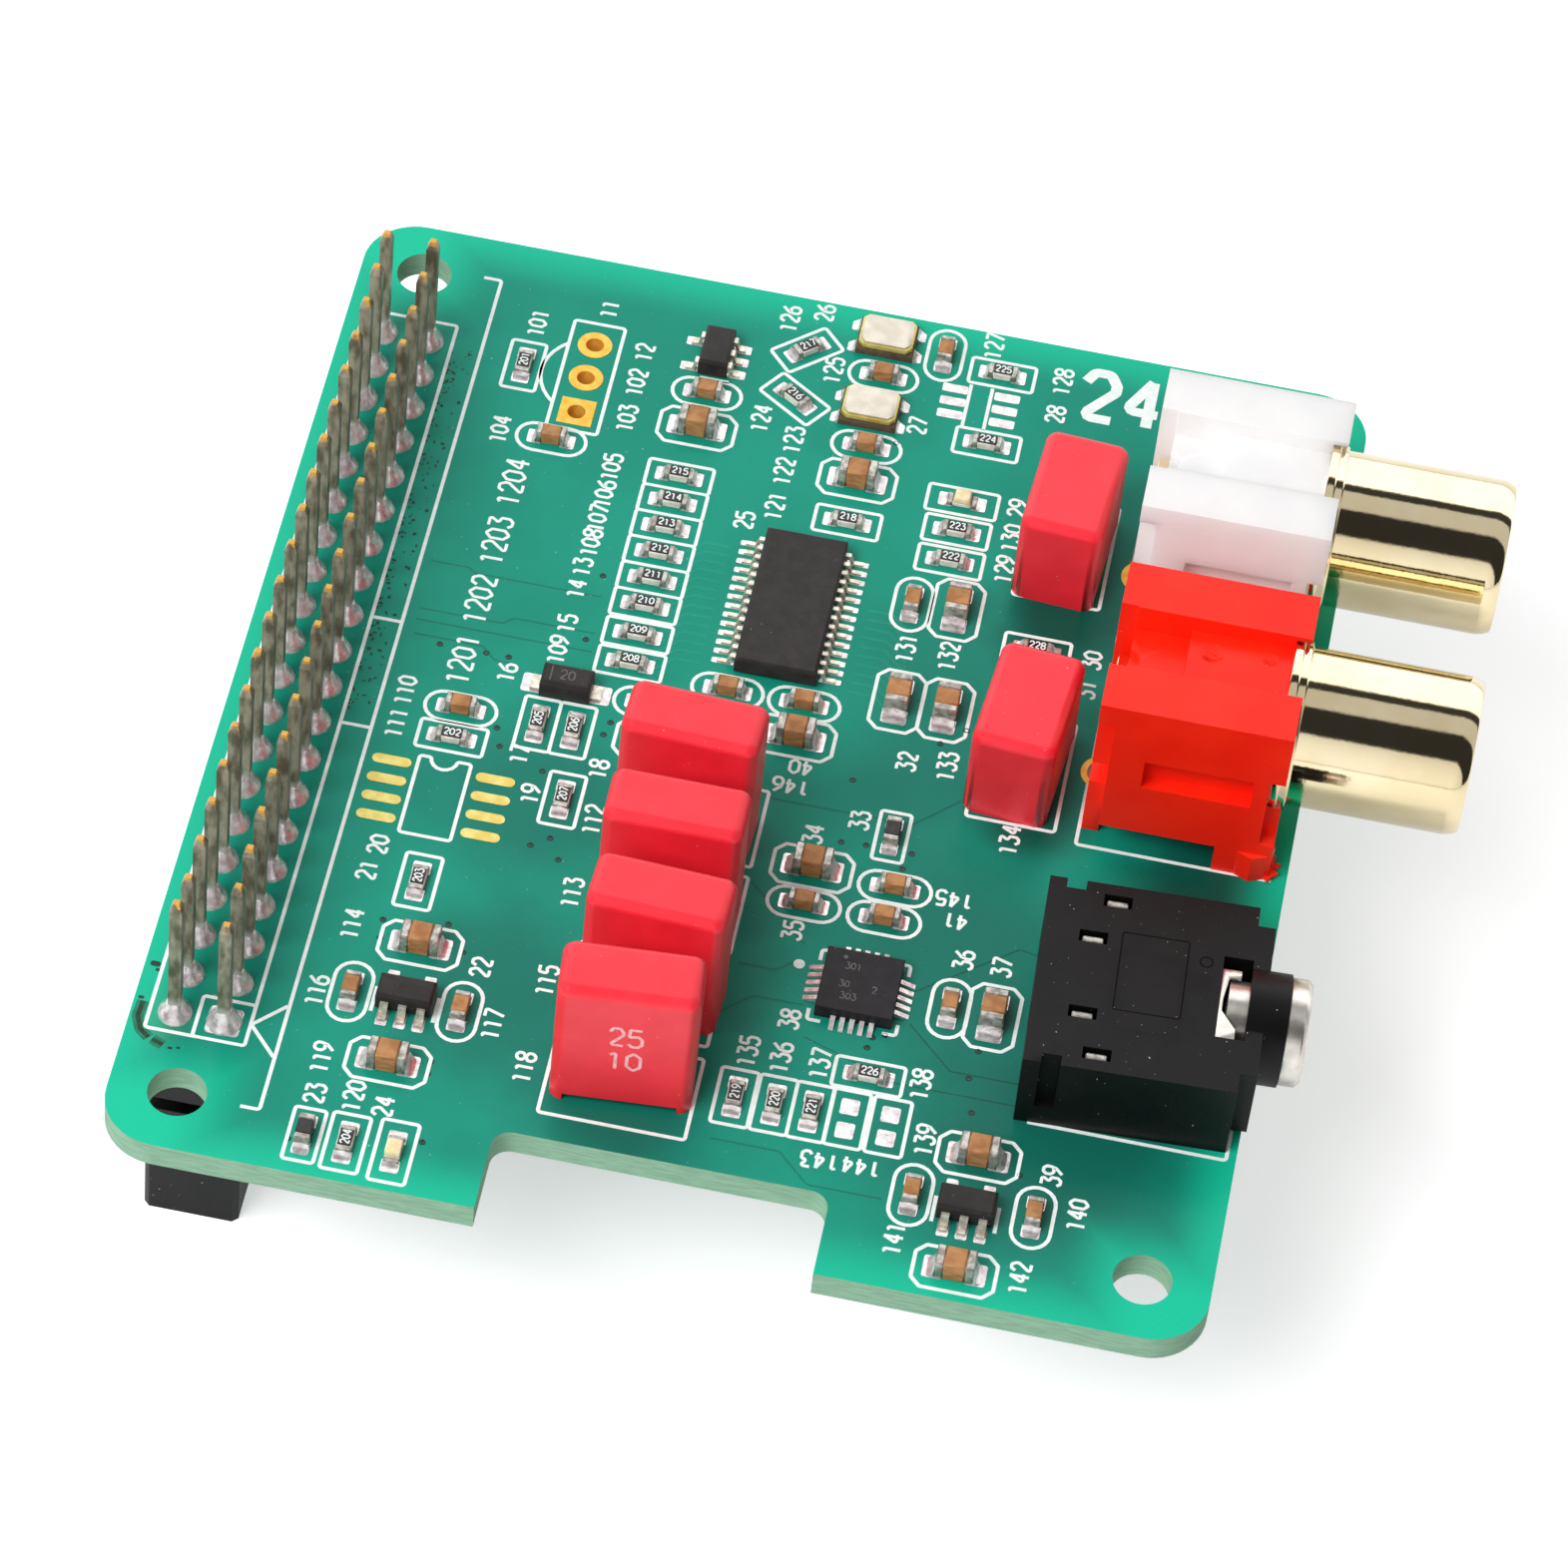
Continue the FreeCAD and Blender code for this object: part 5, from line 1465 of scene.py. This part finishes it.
@dataclass
class PowerChips:
    """Three regulators, the rectifier diode and the two clock oscillators."""

    edge: float = 0.05
    line_reach: float = 1.6
    line_span: Point = (-1.0, 0.6)
    diode_number: int = 20
    digit_height: float = 0.62
    band_inset: Point = (0.5, 0.3)
    foot_size: Triple = (0.45, 0.8, 0.4)
    foot_inset: float = 0.45

    def corner_lines(self) -> list[Line]:
        """A short printed line at each end of a regulator.

        Returns:
            The lines.
        """
        lines = []
        for step in range(1, 4):
            low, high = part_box(f"regulator_body_{step}")
            turn = 0.0 if high.x - low.x > high.y - low.y else math.pi / 2
            place = replace(box_place(f"regulator_body_{step}"), turn=turn)
            lines += [place.draw([(side * self.line_reach, along) for along in self.line_span]) for side in (-1, 1)]
        return lines

    def diode_marks(self) -> None:
        """Prints the band and a plain number on the diode."""
        low, _ = (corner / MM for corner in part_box("rectifier_diode_body"))
        place = box_place("rectifier_diode_body")
        inset, short = self.band_inset
        band, half = low.x - place.x + inset, place.y - low.y - short
        lines = [place.draw([(band, -half), (band, half)])]
        lines += numbers([(self.diode_number, place)], self.digit_height)
        lay("diode_marks", lines, CHIP_MARK, 0.08, MARK_THICKNESS, place.z, 0.05)

    def pads(self) -> list[Place]:
        """The pads under the leads of the regulators and the diode.

        Returns:
            The places of the pads.
        """
        places = [place for step in range(1, 4) for place in lead_pads(f"regulator_leads_{step}", 1.1, 0.6)]
        ends = [middle(points) for points in islands("rectifier_diode_leads")]
        places += [Place(end.x, end.y, turn).beside(0.15, 0.0, 0.0, (1.2, 1.25, 1.0))
                   for end, turn in zip(ends, (math.pi, 0.0))]
        return places

    def oscillator_feet(self) -> list[Place]:
        """The solder at the four corners of each oscillator, facing along its length.

        Returns:
            The places, each with the solder's length, width and height.
        """
        feet = []
        for points in islands("oscillator_bases"):
            xs, ys = [p.x for p in points], [p.y for p in points]
            inner = (max(ys) - min(ys)) / 2 - self.foot_inset
            for x, turn in ((max(xs), 0.0), (min(xs), math.pi)):
                feet += [Place(x, (max(ys) + min(ys)) / 2 + side * inner, turn, size=self.foot_size)
                         for side in (-1, 1)]
        return feet

    def build(self) -> None:
        """Rounds the bodies and dresses the leads, lids and rings."""
        for step in range(1, 4):
            soften(f"regulator_body_{step}", EPOXY, self.edge)
            dress(TINNED, f"regulator_leads_{step}")
        soften("rectifier_diode_body", EPOXY, self.edge)
        self.diode_marks()
        dress(TINNED, "rectifier_diode_leads")
        soften("oscillator_bases", DARK_CERAMIC, self.edge, 1)
        scatter("oscillator_fillets", fillet_shape(), self.oscillator_feet(), SOLDER)
        soften("oscillator_seal_rings", GILT_PAD, 0.04, 1)
        soften("oscillator_lids", LID, 0.03, 1)


@dataclass
class Underside:
    """The solder under the board where leads come through."""

    profile: tuple[Point, ...] = ((0.2, 0.0), (0.95, 0.0), (0.84, -0.2), (0.6, -0.5), (0.44, -0.85), (0.34, -1.1),
                                  (0.2, -1.1))

    def build(self) -> None:
        """Lays a cone of solder round every lead."""
        nodes = ["film_capacitor_wires", "headphone_contact_blades"]
        nodes += [f"phono_{piece}_{colour}" for piece in ("centre_contact", "shell") for colour in ("white", "red")]
        places = [Place(point.x, point.y, z=0.0) for node in nodes for point in tails(node)]
        scatter("underside_solder_joints", lathe(self.profile, CONE_SIDES), places, SOLDER)


@dataclass
class Studio:
    """A plain pale floor, soft light from above and behind, and the camera at the photograph's angle."""

    camera_place: Triple = (23.512, -242.358, 291.365)
    camera_turn: Triple = (39.5971, -4.3287, 10.4682)
    lens: float = 166.246
    sensor: float = 36.0
    floor_half: float = 1500.0
    floor_drop: float = 0.02
    key: float = 2.75
    fill: float = 0.4
    sky: tuple[float, float, float, float] = (0.32, -0.13, -0.07, 0.10)
    room: tuple[Point, ...] = ((0.0, 1.7), (0.25, 1.7), (0.275, 0.04), (0.355, 0.04), (0.375, 0.6), (0.59, 0.6),
                               (0.62, 0.03), (0.88, 0.03), (0.9, 0.8), (1.0, 1.1))
    glare: float = 0.55
    mirror_glare: float = 0.3

    def build(self) -> None:
        """Sets the studio up."""
        bpy.context.scene.view_settings.view_transform = "Standard"
        self.floor()
        self.world()
        self.lamp("key_softbox", (-240.0, -275.0, 425.0), (380.0, 260.0), self.key)
        self.lamp("far_softbox", (-200.0, 260.0, 380.0), (380.0, 300.0), self.fill)
        self.camera()

    def floor(self) -> None:
        """Lays the floor: white to the camera and to reflections, with the object's shadow kept on it."""
        height, half = CAD_BOX[0].z / MM - self.floor_drop, self.floor_half
        corners = rectangle(-half, -half, half, half)[:4]
        floor = put("studio_floor", new_mesh("studio_floor", [(x, y, height) for x, y in corners], [(0, 1, 2, 3)]))
        surface = Surface("studio_floor")
        path = surface.node("ShaderNodeLightPath", {}).outputs
        mirrored = surface.calc("MAXIMUM", path["Is Glossy Ray"], path["Is Transmission Ray"])
        mirrored = surface.calc("MULTIPLY", mirrored, self.mirror_glare)
        glare = surface.calc("MULTIPLY_ADD", path["Is Camera Ray"], self.glare, mirrored)
        surface.give(Base_Color=(0.8, 0.8, 0.8, 1.0), Roughness=1.0, Specular_IOR_Level=0.0,
                     Emission_Color=WHITE_LIGHT, Emission_Strength=glare)
        floor.data.materials.append(surface.material)

    def world(self) -> None:
        """A pale room for the light, bright and dark panels for reflections, and plain white for the camera."""
        world = bpy.data.worlds.new("studio")
        bpy.context.scene.world = world
        world.use_nodes = True
        room = Nodes(world.node_tree)
        path = room.node("ShaderNodeLightPath", {}).outputs
        place = room.node("ShaderNodeTexCoord", {}).outputs["Generated"]
        along = room.node("ShaderNodeSeparateXYZ", {"Vector": place}).outputs
        level, *slopes = self.sky
        for axis, slope in zip(along, slopes):
            level = room.calc("MULTIPLY_ADD", axis, slope, level)
        near = room.node("ShaderNodeMapRange", {"Value": along["Y"], "From Min": 1.0, "From Max": -1.0})
        panels = room.node("ShaderNodeValToRGB", {0: near})
        stops = panels.color_ramp.elements
        stops.remove(stops[1])
        stops[0].position = self.room[0][0]
        for index, (position, shade) in enumerate(self.room):
            stop = stops.new(position) if index else stops[0]
            stop.color = (shade, shade, shade, 1.0)
        seen = room.blend(path["Is Glossy Ray"], level, panels)
        seen = room.blend(path["Is Camera Ray"], seen, WHITE_LIGHT)
        room.feed(room.tree.nodes["Background"].inputs["Color"], seen)

    def lamp(self, name: str, place: Triple, size: Point, power: float) -> None:
        """Hangs a softbox that faces the board.

        Args:
            name: its name.
            place: where it hangs, in millimetres.
            size: its width and depth.
            power: its power in watts.
        """
        light = bpy.data.lights.new(name, "AREA")
        light.shape = "RECTANGLE"
        light.size, light.size_y = size[0] * MM, size[1] * MM
        light.energy = power
        lamp = put(name, light)
        lamp.location = Vector(place) * MM
        lamp.rotation_euler = (-lamp.location).to_track_quat("-Z", "Y").to_euler()
        lamp.visible_glossy = False

    def camera(self) -> None:
        """Sets the camera at the photograph's viewing angle."""
        lens = bpy.data.cameras.new("camera")
        lens.lens, lens.sensor_width = self.lens, self.sensor
        lens.clip_start, lens.clip_end = 0.01, 10.0
        camera = put("camera", lens)
        camera.location = Vector(self.camera_place) * MM
        camera.rotation_euler = [math.radians(angle) for angle in self.camera_turn]
        bpy.context.scene.camera = camera


def small_parts() -> list[SmallParts]:
    """The kinds of chip part on the board.

    Returns:
        The kinds.
    """
    return [
        Resistors("resistor_ceramics", "resistor_ends", CERAMIC, FrameShape.RECTANGLE, (3.55, 1.9), (0.5, 0.95), 0.9),
        SmallParts("small_capacitor_blocks", "small_capacitor_ends", TAN, FrameShape.STADIUM, (3.8, 1.97),
                   (0.5, 0.95), 0.55),
        SmallParts("large_capacitor_blocks", "large_capacitor_ends", TAN, FrameShape.CLIPPED, (4.15, 2.58),
                   (0.6, 1.35), 0.5, 0.225, 0.07),
        SmallParts("ferrite_bead_blocks", "ferrite_bead_ends", FERRITE, FrameShape.RECTANGLE, (3.3, 1.6),
                   (0.45, 0.9), 0.5, 0.175),
        SmallParts("status_lamp_bases", "status_lamp_ends", CERAMIC, FrameShape.RECTANGLE, (3.83, 1.89),
                   (0.5, 0.95), 0.9),
    ]


def main() -> None:
    """Builds the board's sub-assemblies in order, then the studio."""
    logging.basicConfig(level=logging.INFO, format="%(name)s: %(message)s")
    kinds = small_parts()
    pads = [place for kind in kinds for place in kind.build()]
    soften("status_lamp_lenses", LENS, 0.06)
    pads += StackingHeader().first_pad() + SignalChips().pads() + PowerChips().pads()
    CircuitBoard().build(kinds, pads)
    for kind in (StackingHeader, PhonoSockets, HeadphoneSocket, FilmCapacitors, SignalChips, PowerChips, Underside,
                 Studio):
        kind().build()


if __name__ == "__main__":
    main()
